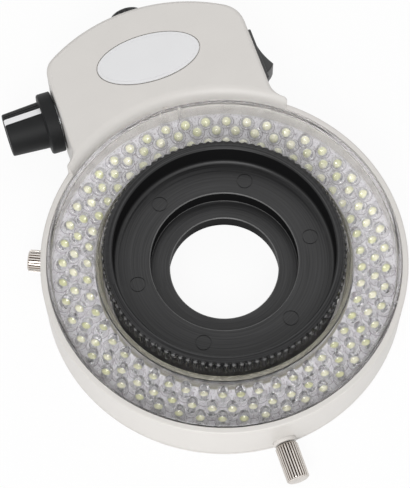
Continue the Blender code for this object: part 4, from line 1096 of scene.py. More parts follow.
@dataclass
class Case:
    """The two mouldings of the case: the upper shell with its box, and the back plate."""

    rim: float = 47.0
    height: float = 18.0
    wall: float = 1.5
    rim_round: float = 0.5
    foot: float = 1.0
    shoulder: float = 44.0
    shoulder_height: float = 9.2
    plate: float = 1.8
    parting: float = 2.1
    box_low: float = 0.05
    box_wall: float = 2.0
    box_edge: float = 1.2
    box_edge_steps: int = 7
    left_corner: float = 6.0
    right_corner: float = 7.5
    back_arc: float = 46.0
    brow_lean: float = 8.0
    flare: float = 6.0
    flare_proud: float = 0.8
    nose: float = 1.4
    front_web: float = 2.0
    sleeve: float = 33.5
    boss: float = 3.5
    boss_start: float = 32.0
    bush_end: float = 38.0
    bush_seat: float = 2.6
    head_gap: float = 0.3
    head_hole: float = 3.05
    # The first posts stand under the shoulder, so they are short.
    short_posts: int = 2
    plate_screws: tuple[Point, ...] = ((-35.94, -20.75), (35.94, -20.75), (-11.0, 48.77),
                                       (11.0, 48.77), (-21.0, 65.29), (21.0, 65.29))
    screw_hole: float = 1.5
    post: float = 3.0
    post_bite: float = 0.5
    pilot_end: float = 7.2
    # Radius, depth.
    head_seat: Point = (2.7, 1.3)
    dial_hole: float = 4.8
    # Near and far edge along the box, then bottom and top.
    switch_window: tuple[Point, Point] = ((46.9, 61.4), (6.3, 15.7))
    gland_hole: float = 4.0
    label_play: float = 0.3
    label_sink: float = 0.5
    # Half width, far edge along the box, top.
    lead_notch: Triple = (3.0, 49.5, 8.7)
    # Across the lamp, out from the rim's inner wall, up from the rim's top.
    pry_notch: tuple[Point, Point, Point] = ((-1.6, -0.4), (-1.0, 0.7), (-1.4, 0.6))
    standoffs: tuple[Point, ...] = ((-10.6, 54.6), (-10.6, 65.6), (10.6, 54.6), (10.6, 65.6))
    # Radius, top.
    standoff: Point = (1.6, 4.2)
    # How much wider than the bore at which height, from the resting plane.
    mouth: tuple[Point, ...] = ((1.0, -2.0), (0.5, 0.0), (0.0, 0.5))
    # The same, from the sleeve's top.
    sleeve_lip: tuple[Point, ...] = ((0.0, -0.4), (0.4, 0.0), (0.8, 2.0))

    @property
    def trough(self) -> float:
        """Radius of the rim's inner wall."""
        return self.rim - self.wall

    def box_half(self, wall: float, corner: float, inset: float) -> list[Point]:
        """Draw half of the box's back edge, from its straight side to the middle.

        Args:
            wall: distance of the straight side from the middle.
            corner: radius of the corner.
            inset: how far the line is set in.

        Returns:
            The points of the line.
        """
        centre, reach, bend = BOX_BACK - self.back_arc, self.back_arc - inset, corner - inset
        corner_x = wall - inset - bend
        corner_y = centre + math.sqrt((reach - bend) ** 2 - corner_x ** 2)
        meet = math.degrees(math.atan2(corner_y - centre, corner_x))
        return (arc((corner_x, corner_y), bend, 0.0, meet, 10) +
                arc((0.0, centre), reach, meet, 90.0, 12)[1:-1])

    def box_outline(self, front: Callable[[float], list[Point]],
                    inset: float = 0.0) -> list[Point]:
        """Draw the box's outline.

        Args:
            front: gives the front line of one side from the distance of its wall.
            inset: how far the outline is set in.

        Returns:
            The points of the outline.
        """
        right = front(BOX_RIGHT) + self.box_half(BOX_RIGHT, self.right_corner, inset)
        left = front(BOX_LEFT) + self.box_half(BOX_LEFT, self.left_corner, inset)
        return right + [(0.0, BOX_BACK - inset)] + [(-x, y) for x, y in reversed(left)]

    def flare_points(self, wall: float) -> list[Point]:
        """Draw the front line of one side, which runs out onto the ring in a rounded nose.

        Args:
            wall: distance of the box's wall from the middle.

        Returns:
            The points of the line.
        """
        reach, across = self.rim + self.flare_proud, wall + self.flare
        along = math.sqrt((reach + self.flare) ** 2 - across ** 2)
        spoke = math.degrees(math.atan2(along, across))
        out_x, out_y = math.cos(math.radians(spoke)), math.sin(math.radians(spoke))
        tip = ((reach - self.nose) * out_x, (reach - self.nose) * out_y)
        root = (BORE * out_x + self.nose * out_y, BORE * out_y - self.nose * out_x)
        return ([root] + arc(tip, self.nose, spoke - 90.0, spoke, 8)[:-1] +
                arc((across, along), self.flare, spoke + 180.0, 180.0, 10))

    def cavity_front(self, wall: float) -> list[Point]:
        """Draw the front line of one side of the hollow, round the rim's outside.

        Args:
            wall: distance of the box's wall from the middle.

        Returns:
            The points of the line.
        """
        reach = self.trough + self.front_web
        edge = math.degrees(math.acos((wall - self.box_wall) / reach))
        return arc((0.0, 0.0), reach, 90.0, edge, 12)[1:]

    def outer_form(self) -> Piece:
        """Join the ring's disc and the control box.

        Returns:
            The solid outer form, without any hollow.
        """
        profile = [(0.0, self.height)]
        profile += arc((self.rim - self.rim_round, self.height - self.rim_round), self.rim_round,
                       90.0, 0.0, 4)
        profile += arc((self.rim - self.foot, self.foot), self.foot, 0.0, -90.0, 8)
        profile += [(0.0, 0.0)]
        disc = lathed("ring_form", profile, RING_STEPS)
        box = slab("box_form", self.box_outline(self.flare_points), self.box_low, BOX_TOP,
                   self.box_edge, self.box_edge_steps, self.foot)
        return carve(disc, [box], Cut.ADD)

    def trough_tool(self) -> Piece:
        """Turn the tool that opens the ring and rounds the box's front along it.

        Returns:
            The tool.
        """
        top = BOX_TOP + OVERRUN
        rise = BOX_TOP - self.height
        front = arc((self.trough + rise, self.height), rise, 90.0 + self.brow_lean, 180.0, 10)
        lean = math.tan(math.radians(self.brow_lean))
        lip = (front[0][0] + (top - front[0][1]) / lean, top)
        profile = [(0.0, top), lip, *front, (self.trough, self.shoulder_height),
                   (self.shoulder, self.shoulder_height), (self.shoulder, -OVERRUN),
                   (0.0, -OVERRUN)]
        return lathed("trough", profile, RING_STEPS)

    def cavity_tool(self) -> Piece:
        """Make the tool that hollows the control box.

        Returns:
            The tool.
        """
        middle = (0.0, self.trough + self.front_web)
        outline = [middle] + self.box_outline(self.cavity_front, self.box_wall)
        return slab("cavity", outline, -OVERRUN, BOX_TOP - self.box_wall)

    def radial_pin(self, name: str, angle: float, reach: Point, radius: float) -> Piece:
        """Make a bar on a thumb screw's axis.

        Args:
            name: the object's name.
            angle: the screw's angle.
            reach: where the bar starts and ends.
            radius: the bar's radius.

        Returns:
            The bar.
        """
        start, end = (spot(angle, place, SCREW_HEIGHT) for place in reach)
        return pin(name, start, end, radius)

    def head_tool(self, angle: float) -> Piece:
        """Return the bar that lets a thumb screw's head into the rim."""
        reach = (self.bush_end + self.head_gap, self.rim + OVERRUN)
        return self.radial_pin("head_hole", angle, reach, self.head_hole)

    def layer(self, name: str, low: float, high: float) -> Piece:
        """Return a layer that is wider than the lamp."""
        wide = BOX_BACK + 2.0 * OVERRUN
        return brick(name, (-wide, -wide, low), (wide, wide, high))

    def wall_tools(self) -> list[Piece]:
        """Make the tools that open the walls of the box for its controls.

        Returns:
            The tools.
        """
        deep = 2.0 * OVERRUN
        (near, far), (low, high) = self.switch_window
        return [pin("dial_hole", (-BOX_LEFT - OVERRUN, KNOB_ALONG, KNOB_HEIGHT),
                    (-BOX_LEFT + deep, KNOB_ALONG, KNOB_HEIGHT), self.dial_hole),
                brick("switch_window", (BOX_RIGHT - deep, near, low),
                      (BOX_RIGHT + OVERRUN, far, high)),
                pin("gland_hole", (GLAND_ACROSS, BOX_BACK - deep, GLAND_HEIGHT),
                    (GLAND_ACROSS, BOX_BACK + OVERRUN, GLAND_HEIGHT), self.gland_hole)]

    def notch_tools(self) -> list[Piece]:
        """Make the tools of the label's recess, the notch for the leads and the pry notch.

        Returns:
            The tools.
        """
        half, far, top = self.lead_notch
        (left, right), (inner, outer), (low, high) = self.pry_notch
        return [slab("label_recess", oval(self.label_play), BOX_TOP - self.label_sink,
                     BOX_TOP + OVERRUN),
                brick("lead_notch", (-half, self.shoulder - OVERRUN, -OVERRUN), (half, far, top)),
                brick("pry_notch", (left, self.trough + inner, self.height + low),
                      (right, self.trough + outer, self.height + high))]

    def build_shell(self, form: Piece) -> None:
        """Cut the upper shell from the outer form, with its openings and screw posts.

        Args:
            form: the outer form.
        """
        shell = linked("case_shell", form.data.copy())
        carve(shell, [self.layer("under", -OVERRUN, self.parting), self.trough_tool(),
                      self.cavity_tool()], Cut.TAKE)
        ceiling = BOX_TOP - self.box_wall + self.post_bite
        posts = []
        for index, (x, y) in enumerate(self.plate_screws):
            top = self.shoulder_height if index < self.short_posts else ceiling
            posts.append(pin(f"post_{index}", (x, y, self.parting), (x, y, top), self.post,
                             POST_STEPS))
        carve(shell, posts, Cut.ADD)
        pilots = [pin(f"pilot_{index}", (x, y, -OVERRUN), (x, y, self.pilot_end),
                      self.screw_hole, PILOT_STEPS)
                  for index, (x, y) in enumerate(self.plate_screws)]
        heads = [self.head_tool(angle) for angle in SCREW_ANGLES.values()]
        carve(shell, pilots + heads + self.wall_tools() + self.notch_tools(), Cut.TAKE)
        dress(shell, PALETTE.case, Body.LAMP, "case_plastic", "housing")

    def plate_additions(self) -> list[Piece]:
        """Make the sleeve, the bosses with their webs and the standoffs of the back plate.

        Returns:
            The solids to add.
        """
        low = self.plate / 2.0
        adds = [pin("sleeve", (0.0, 0.0, low), (0.0, 0.0, self.shoulder_height), self.sleeve,
                    RING_STEPS)]
        for angle in SCREW_ANGLES.values():
            adds.append(self.radial_pin("boss", angle, (self.boss_start, self.bush_end),
                                        self.boss))
            web = brick("web", (self.boss_start, -self.boss, low),
                        (self.bush_end, self.boss, SCREW_HEIGHT))
            adds.append(moved(web, swing(angle)))
        radius, top = self.standoff
        return adds + [pin("standoff", (x, y, low), (x, y, top), radius, POST_STEPS)
                       for x, y in self.standoffs]

    def plate_holes(self) -> list[Piece]:
        """Make the tools of the bore, the bush seats and the screw holes of the back plate.

        Returns:
            The tools.
        """
        top = self.shoulder_height
        mouth = [(0.0, -OVERRUN)] + [(BORE + wider, level) for wider, level in self.mouth]
        mouth += [(BORE + wider, top + level) for wider, level in self.sleeve_lip]
        holes = [lathed("bore", mouth + [(0.0, top + OVERRUN)], RING_STEPS)]
        reach = (BORE - OVERRUN, self.bush_end + OVERRUN)
        for angle in SCREW_ANGLES.values():
            holes.append(self.radial_pin("bush_seat", angle, reach, self.bush_seat))
            holes.append(self.head_tool(angle))
        radius, depth = self.head_seat
        for x, y in self.plate_screws:
            holes.append(pin("screw_hole", (x, y, -OVERRUN), (x, y, 2.0 * OVERRUN),
                             self.screw_hole, POST_STEPS))
            holes.append(pin("head_seat", (x, y, -OVERRUN), (x, y, depth), radius, POST_STEPS))
        return holes

    def build_plate(self, form: Piece) -> None:
        """Cut the back plate from the outer form and add its sleeve, bosses and webs.

        Args:
            form: the outer form.
        """
        plate = linked("case_back_plate", form.data.copy())
        carve(plate, [self.layer("over", self.plate, BOX_TOP + OVERRUN)], Cut.TAKE)
        carve(plate, self.plate_additions(), Cut.ADD)
        carve(plate, self.plate_holes(), Cut.TAKE)
        dress(plate, PALETTE.case, Body.LAMP, "case_plastic", "back_cover")

    def build(self) -> None:
        """Build the shell and the plate."""
        form = self.outer_form()
        self.build_shell(form)
        self.build_plate(form)
        bpy.data.objects.remove(form, do_unlink=True)


@dataclass
class PlateScrews:
    """The six slotted screws of the back plate."""

    places: tuple[Point, ...] = Case.plate_screws
    section: tuple[Point, ...] = ((0.0, 0.3), (2.4, 0.3), (2.4, 1.0), (1.2, 1.0), (1.2, 6.5),
                                  (0.9, 6.9), (0.0, 6.9))
    edge: float = 0.15
    # Half length, half width, depth.
    slot: Triple = (2.6, 0.3, 0.75)

    def build(self) -> None:
        """Turn each screw and cut its slot."""
        half_length, half_width, depth = self.slot
        for index, (x, y) in enumerate(self.places, 1):
            screw = lathed(f"plate_screw_{index}", eased(self.section, self.edge, 2), steps=32)
            moved(screw, Matrix.Translation((x, y, 0.0)))
            slot = brick("slot", (x - half_length, y - half_width, -SKIM),
                         (x + half_length, y + half_width, depth))
            carve(screw, [slot], Cut.TAKE)
            dress(screw, PALETTE.steel, Body.LAMP, "steel", f"back_screw_{index}")


@dataclass
class NamePlate:
    """The bare oval plate sunk in the top of the box, with one engraved line round it."""

    bottom: float = 20.8
    top: float = 21.15
    edge: float = 0.08
    # How far the line's outer and inner edges are set in.
    line: Point = (0.75, 0.9)
    line_depth: float = 0.06

    def build(self) -> None:
        """Build the plate and engrave its line."""
        outer, inner = self.line
        plate = slab("name_plate", oval(0.0), self.bottom, self.top, self.edge, 2)
        line = slab("line", oval(-outer), self.top - self.line_depth, self.top + SKIM)
        island = slab("island", oval(-inner), self.top - SKIM, self.top + OVERRUN)
        carve(plate, [carve(line, [island], Cut.TAKE)], Cut.TAKE)
        dress(plate, PALETTE.plate, Body.LAMP, "silver_label", "label_plate")


@dataclass
class LampBoard:
    """The ring board with three rows of small round lamps that lean inward."""

    outer: float = 45.2
    inner: float = 31.4
    bottom: float = 9.5
    top: float = 10.7
    edge: float = 0.12
    count: int = 48
    # Radius of each row and the angle of its first lamp.
    rows: tuple[Point, ...] = ((42.3, 3.0), (39.53, 6.75), (36.0, 3.0))
    lean: float = 20.0
    play: float = 2.0
    seed: int = 11
    radius: float = 1.5
    length: float = 4.85
    flange: float = 1.85
    # Radius and height over the board, of the lens's foot.
    lens_foot: tuple[Point, ...] = ((0.0, 0.1), (1.85, 0.1), (1.85, 0.8), (1.75, 0.9),
                                    (1.55, 0.9), (1.5, 1.0))
    # The ring of painted shade round each lamp's foot: how much wider than the flange at which
    # height.
    foot_shade_ring: tuple[Point, ...] = ((0.08, 0.0), (0.2, 0.0), (0.2, 0.03), (0.08, 0.03))
    # Radius and height of the gel cup and of the silver dish under it.
    cup: tuple[Point, ...] = ((0.0, 1.7), (0.38, 1.7), (0.83, 2.14), (0.76, 2.24), (0.45, 2.38),
                              (0.0, 2.44))
    dish: tuple[Point, ...] = ((0.0, 1.5), (0.52, 1.5), (0.93, 2.05), (0.86, 2.08), (0.38, 1.62),
                               (0.0, 1.62))
    # Lowest and highest corner of each leg.
    post: tuple[Triple, Triple] = ((-0.62, -0.22, 0.12), (-0.22, 0.22, 1.55))
    anvil: tuple[Triple, Triple] = ((0.3, -0.2, 0.12), (0.62, 0.2, 2.0))
    leg_edge: float = 0.05

    def spots(self) -> list[Point]:
        """Return the angle and radius of every lamp, row by row."""
        return [(start + FULL_TURN * index / self.count, radius)
                for radius, start in self.rows for index in range(self.count)]

    def places(self) -> list[Matrix]:
        """Set every lamp on the board, each a little off as if set by hand.

        Returns:
            Where each lamp stands and how it leans.
        """
        hand = random.Random(self.seed)
        result = []
        for angle, radius in self.spots():
            lean = swing(hand.gauss(-self.lean, self.play), "Y")
            sway = swing(hand.gauss(0.0, self.play), "X")
            spin = Matrix.Rotation(hand.uniform(0.0, math.tau), 4, "Z")
            foot = swing(angle) @ Matrix.Translation((radius, 0.0, self.top))
            result.append(foot @ lean @ sway @ spin)
        return result

    def build_board(self) -> None:
        """Turn the board and lay a dark ring of painted shade round every lamp's foot."""
        section = [(self.outer, self.top), (self.outer, self.bottom), (self.inner, self.bottom),
                   (self.inner, self.top)]
        board = lathed("lamp_board", eased(section, self.edge, 2), RING_STEPS)
        dress(board, PALETTE.board, Body.LAMP, "lamp_board", "led_board")
        # A dark ring round every lamp's foot paints the shade where the lens meets the board.
        line = lathed("ring", [(self.flange + wider, level) for wider, level in self.foot_shade_ring],
                      steps=28)
        feet = [Matrix.Translation(spot(angle, radius, self.top)) for angle, radius in self.spots()]
        rings = repeated("lamp_foot_shade_rings", line, feet)
        dress(rings, PALETTE.foot_shade, Body.LAMP, "lamp_board")

    def build_lamps(self) -> None:
        """Build the clear lens bodies, the gel cups and the silver lead frames."""
        tip = self.length - self.radius
        lens = [*self.lens_foot, *arc((0.0, tip), self.radius, 0.0, 89.5, 6)]
        lenses = repeated("lamp_lenses", lathed("lens", lens, steps=20), self.places())
        dress(lenses, PALETTE.epoxy, Body.LAMP, "clear_plastic", crease=50.0)
        gel = repeated("lamp_gel_cups", lathed("gel", self.cup, steps=14), self.places())
        dress(gel, PALETTE.gel, Body.LAMP, "white_plastic", crease=60.0)
        legs = joined("legs", [brick("post", *self.post, self.leg_edge),
                               brick("anvil", *self.anvil, self.leg_edge),
                               lathed("dish", self.dish, steps=14)])
        frames = repeated("lamp_lead_frames", legs, self.places())
        dress(frames, PALETTE.silver, Body.LAMP, "steel")

    def build(self) -> None:
        """Build the board and the lamps on it."""
        self.build_board()
        self.build_lamps()


@dataclass
class ClearCover:
    """The clear channel over the lamps, with three spring tabs in its outer skirt."""

    outer: float = 45.4
    inner: float = 32.0
    top: float = 18.2
    foot: float = 11.0
    skin: float = 1.2
    skirt: float = 0.9
    outer_round: float = 0.9
    inner_round: float = 0.45
    web: float = 0.4
    tab_half: float = 2.8
    slit: float = 0.5
    slit_play: float = 0.3
    tab_length: float = 4.6
    tab_angles: Triple = (90.0, 210.0, 330.0)
    # Out from the outer wall, then bottom and top.
    catch: tuple[Point, Point] = ((-0.45, 0.3), (11.7, 13.1))
    catch_edge: float = 0.15

    def section(self) -> list[Point]:
        """Draw the channel's section.

        Returns:
            The points of the section.
        """
        under = self.top - self.skin
        left, right = self.inner + self.skirt, self.outer - self.skirt
        profile = arc((self.outer - self.outer_round, self.top - self.outer_round),
                      self.outer_round, 90.0, 0.0, 5)
        profile += [(self.outer, self.foot), (right, self.foot), (right, under - self.web),
                    (right - self.web, under), (left + self.web, under), (left, under - self.web),
                    (left, self.foot), (self.inner, self.foot)]
        return profile + arc((self.inner + self.inner_round, self.top - self.inner_round),
                             self.inner_round, 180.0, 90.0, 3)

    def build(self) -> None:
        """Turn the channel, add the catches and cut the slits of the tabs."""
        cover = lathed("clear_cover_channel", self.section(), RING_STEPS)
        catches, slits = [], []
        half = self.tab_half - self.slit
        (inside, outside), (low, high) = self.catch
        for angle in self.tab_angles:
            catch = brick("catch", (self.outer + inside, -half, low),
                          (self.outer + outside, half, high), self.catch_edge)
            catches.append(moved(catch, swing(angle)))
            for side in (-1.0, 1.0):
                left, right = sorted((side * self.tab_half, side * half))
                cut = brick("slit",
                            (self.outer - self.skirt - self.slit_play, left, self.foot - OVERRUN),
                            (self.outer + OVERRUN, right, self.foot + self.tab_length))
                slits.append(moved(cut, swing(angle)))
        carve(cover, catches, Cut.ADD)
        carve(cover, slits, Cut.TAKE)
        dress(cover, PALETTE.clear, Body.LAMP, "clear_plastic", "clear_cover")


@dataclass
class AdapterRing:
    """The black ring that the screws clamp, with a knurled flange and a dished front."""

    body: float = 30.2
    flange: float = 31.2
    flange_low: float = 17.7
    top: float = 22.9
    foot: float = 1.5
    taper: float = 0.8
    teeth: int = 100
    tooth_steps: int = 8
    tooth_depth: float = 0.7
    tooth_width: float = 1.4
    # Set in by, below the top by, share of the teeth's depth.
    crown: tuple[Triple, ...] = ((0.75, 0.0, 0.15), (0.35, 0.3, 0.6), (0.0, 0.85, 1.0))
    underside: float = 0.2
    dish: float = 28.4
    dish_floor: float = 15.8
    dish_lip: float = 0.3
    fillet: float = 1.2
    ledge: float = 19.0
    ledge_floor: float = 11.0
    ledge_foot: float = 0.2
    ledge_lip: float = 0.25
    eye: float = 13.85
    eye_lip: float = 0.4
    # Wider than the eye by, below the ledge by.
    eye_throat: Point = (0.15, 0.2)
    eye_low: float = 14.3
    hub: float = 21.9
    hub_low: float = 6.0
    pocket: float = 27.2
    pocket_roof: float = 12.8
    marks: int = 6
    mark_start: float = -2.0
    mark_circle: float = 23.05
    # Inner and outer radius.
    mark: Point = (1.84, 2.08)
    mark_depth: float = 0.2

    def section(self) -> tuple[list[Point], list[float]]:
        """Draw the ring's section.

        Returns:
            Its points, and how much of the teeth's depth each takes.
        """
        profile = [(self.flange - inset, self.top - drop) for inset, drop, _ in self.crown]
        profile += [(self.flange, self.flange_low + self.underside),
                    (self.flange - self.underside, self.flange_low)]
        shares = [share for _, _, share in self.crown] + [1.0, 1.0]
        throat, drop = self.eye_throat
        profile += [(self.body, self.flange_low), (self.body, self.foot + self.taper),
                    (self.body - self.taper, self.foot), (self.pocket, self.foot),
                    (self.pocket, self.pocket_roof), (self.hub, self.pocket_roof),
                    (self.hub, self.hub_low), (self.eye_low, self.hub_low),
                    (self.eye + throat, self.ledge_floor - drop),
                    (self.eye + self.eye_lip, self.ledge_floor),
                    (self.ledge - self.ledge_foot, self.ledge_floor),
                    (self.ledge, self.ledge_floor + self.ledge_foot),
                    (self.ledge, self.dish_floor - self.ledge_lip),
                    (self.ledge + self.ledge_lip, self.dish_floor)]
        profile += arc((self.dish - self.fillet, self.dish_floor + self.fillet), self.fillet,
                       -90.0, 0.0, 8)
        profile += [(self.dish, self.top - self.dish_lip), (self.dish + self.dish_lip, self.top)]
        return profile, shares + [0.0] * (len(profile) - len(shares))

    def tooth(self, turn: float) -> float:
        """Return how deep the knurl is at an angle."""
        return self.tooth_depth * (0.5 - 0.5 * math.cos(turn * self.teeth)) ** self.tooth_width

    def mark_tools(self) -> list[Piece]:
        """Make the rings that sink the ejector marks into the dish.

        Returns:
            The tools.
        """
        inner, outer = self.mark
        low, high = self.dish_floor - self.mark_depth, self.dish_floor + OVERRUN
        disc = [(inner, high), (outer, high), (outer, low), (inner, low)]
        angles = [self.mark_start + FULL_TURN / self.marks * index for index in range(self.marks)]
        return [moved(lathed("mark", disc, steps=40),
                      Matrix.Translation(spot(angle, self.mark_circle, 0.0))) for angle in angles]

    def build(self) -> None:
        """Turn the ring with its teeth and sink the ejector marks."""
        profile, shares = self.section()
        ring = lathed("adapter_knurled_ring", profile, self.teeth * self.tooth_steps, self.tooth,
                      shares)
        carve(ring, self.mark_tools(), Cut.TAKE)
        dress(ring, PALETTE.adapter, Body.ADAPTER, "black_plastic", "adapter_ring", crease=38.0)


@dataclass
class ThumbScrew:
    """One grooved thumb screw, its tip at a radius on its axis."""

    place: str
    tip: float
    body: Body
    shaft: float = 1.25
    shaft_length: float = 11.3
    shaft_end: float = 0.4
    # Start, pitch, depth.
    thread: Triple = (0.6, 0.5, 0.16)
    thread_out: float = 1.0
    head_length: float = 9.8
    # Set in by, over the head's base or below its end by, share of the grooves' depth.
    head_base: tuple[Triple, ...] = ((0.75, 0.0, 0.0), (0.3, 0.15, 0.4), (0.0, 0.6, 1.0))
    head_tip: tuple[Triple, ...] = ((0.0, 0.55, 1.0), (0.12, 0.35, 0.55), (0.5, 0.05, 0.0),
                                    (0.8, 0.0, 0.0))
    # Where the collar starts and ends on the screw's axis.
    collar: Point = (9.8, 11.0)
    collar_bore: float = 1.55
    collar_edge: float = 0.15
    grooves: int = 26
    groove_steps: int = 8
    groove_depth: float = 0.3
    groove_width: float = 0.7

    def lay(self, item: Piece) -> Piece:
        """Put a piece made round +Z onto the screw's axis.

        Args:
            item: the piece.

        Returns:
            The same piece.
        """
        angle = SCREW_ANGLES[self.place]
        along = spot(angle, 1.0, 0.0).to_track_quat("Z", "Y").to_matrix().to_4x4()
        return moved(item, Matrix.Translation(spot(angle, self.tip, SCREW_HEIGHT)) @ along)

    def groove(self, turn: float) -> float:
        """Return how deep the head's grooves are at an angle."""
        return self.groove_depth * max(0.0, math.cos(turn * self.grooves)) ** self.groove_width

    def build_screw(self) -> None:
        """Turn the screw, whose head's ribs are rounded, and lay it on its axis."""
        start, end = self.shaft_length, self.shaft_length + self.head_length
        profile = [(0.0, 0.0), (self.shaft - self.shaft_end, 0.0)]
        run_in, pitch, depth = self.thread
        for index in range(int((start - self.thread_out) / pitch)):
            level = run_in + pitch * index
            profile += [(self.shaft - depth, level), (self.shaft, level + pitch / 2.0)]
        profile.append((self.shaft, start))
        shares = [0.0] * len(profile)
        profile += [(SCREW_HEAD - inset, start + rise) for inset, rise, _ in self.head_base]
        profile += [(SCREW_HEAD - inset, end - drop) for inset, drop, _ in self.head_tip]
        profile.append((0.0, end))
        shares += [share for _, _, share in self.head_base + self.head_tip] + [0.0]
        screw = lathed(f"thumb_screw_{self.place}_turned", profile,
                       self.grooves * self.groove_steps, self.groove, shares)
        dress(self.lay(screw), PALETTE.nickel, self.body, "nickel", f"thumb_screw_{self.place}",
              crease=28.0)

    def build_collar(self) -> None:
        """Turn the plastic collar that sits under the head."""
        low, high = self.collar
        section = [(self.collar_bore, low), (SCREW_HEAD, low), (SCREW_HEAD, high),
                   (self.collar_bore, high)]
        collar = lathed(f"screw_collar_{self.place}_ring", eased(section, self.collar_edge, 3),
                        steps=64)
        dress(self.lay(collar), PALETTE.case, self.body, "case_plastic",
              f"screw_collar_{self.place}")

    def build(self) -> None:
        """Build the screw and its collar."""
        self.build_screw()
        self.build_collar()


@dataclass
class Dimmer:
    """The skirted knob on the left wall with its white pointer."""

    base: float = 0.5
    skirt: float = 8.25
    skirt_width: float = 3.7
    skirt_edge: float = 0.2
    skirt_round: float = 0.6
    hollow: tuple[Point, ...] = ((7.0, 0.5), (7.0, 3.9), (3.3, 3.9))
    shaft_hole: float = 3.3
    shaft_stop: float = 2.0
    barrel_base: float = 6.35
    barrel_tip: float = 5.75
    barrel: float = 10.2
    barrel_fillet: float = 0.25
    tip_round: float = 0.45
    # Inside the barrel's tip by, below its end by.
    tip_dish: tuple[Point, Point] = ((1.2, 0.15), (1.0, 0.0))
    pointer_angle: float = 11.0
    pointer_width: float = 1.8
    pointer_play: float = 0.12
    pointer_seat: float = 1.0
    pointer_lift: float = 0.3
    pointer_foot: float = 0.1
    pointer_slant: float = 0.35
    # Below the barrel's surface at its tip, and at its base.
    pointer_sunk: Point = (0.02, 0.05)
    pointer_edge: float = 0.12
    lines: int = 3
    line_start: float = 21.0
    line_pitch: float = 9.0
    # Depth, half width.
    line: Point = (0.12, 0.14)
    line_foot: float = 0.3
    clear_of_barrel: float = 9.0

    @property
    def skirt_top(self) -> float:
        """Height of the skirt's shoulder over the wall."""
        return self.base + self.skirt_width

    @property
    def tip(self) -> float:
        """Height of the barrel's end over the wall."""
        return self.skirt_top + self.barrel

    def lay(self, item: Piece) -> Piece:
        """Put a piece made round +Z onto the knob's axis."""
        place = Matrix.Translation((-BOX_LEFT, KNOB_ALONG, KNOB_HEIGHT))
        return moved(item, place @ swing(-90.0, "Y"))

    def section(self) -> list[Point]:
        """Draw the knob's section.

        Returns:
            The points of the section.
        """
        top, tip = self.skirt_top, self.tip
        profile = [(0.0, tip - self.tip_dish[0][1])]
        profile += [(self.barrel_tip - inset, tip - drop) for inset, drop in self.tip_dish]
        profile += arc((self.barrel_tip - self.tip_round, tip - self.tip_round), self.tip_round,
                       90.0, 0.0, 4)
        profile += [(self.barrel_base, top + self.barrel_fillet),
                    (self.barrel_base + self.barrel_fillet, top)]
        profile += arc((self.skirt - self.skirt_round, top - self.skirt_round), self.skirt_round,
                       90.0, 0.0, 4)
        profile += [(self.skirt, self.base + self.skirt_edge),
                    (self.skirt - self.skirt_edge, self.base), *self.hollow]
        stop = tip - self.shaft_stop
        return profile + [(self.shaft_hole, stop), (0.0, stop)]

    def build_knob(self) -> None:
        """Turn the knob, cut the pointer's seat and the three fine lines beside it."""
        low, high = self.skirt_top, self.tip + SKIM
        half = self.pointer_width / 2.0 + self.pointer_play
        seat = self.barrel_tip - self.pointer_seat
        cuts = [moved(brick("slot", (seat, -half, low), (self.clear_of_barrel, half, high)),
                      swing(self.pointer_angle))]
        depth, half_line = self.line
        for index in range(self.lines):
            groove = brick("groove", (self.barrel_tip - depth, -half_line, low + self.line_foot),
                           (self.clear_of_barrel, half_line, high))
            angle = self.pointer_angle + self.line_start + self.line_pitch * index
            cuts.append(moved(groove, swing(angle)))
        knob = carve(lathed("dimmer_knob_turned", self.section(), steps=128), cuts, Cut.TAKE)
        dress(self.lay(knob), PALETTE.knob, Body.DIMMER, "black_plastic", "dimmer_knob")

    def build_pointer(self) -> None:
        """Build the white pointer and set it in its seat."""
        half, low = self.pointer_width / 2.0, self.skirt_top + self.pointer_foot
        floor = self.barrel_tip - self.pointer_seat + self.pointer_lift
        slant, (at_tip, at_base) = self.pointer_slant, self.pointer_sunk
        outline = [(low, floor), (self.tip, floor), (self.tip, self.barrel_tip - slant),
                   (self.tip - slant, self.barrel_tip - at_tip), (low, self.barrel_base - at_base)]
        pointer = slab("knob_pointer_stripe", outline, -half, half, self.pointer_edge, 2)
        upright = Matrix(((0.0, 1.0, 0.0, 0.0), (0.0, 0.0, 1.0, 0.0), (1.0, 0.0, 0.0, 0.0),
                          (0.0, 0.0, 0.0, 1.0)))
        self.lay(moved(pointer, swing(self.pointer_angle) @ upright))
        dress(pointer, PALETTE.white, Body.DIMMER, "white_plastic", "knob_pointer")

    def build(self) -> None:
        """Build the knob and its pointer."""
        self.build_knob()
        self.build_pointer()


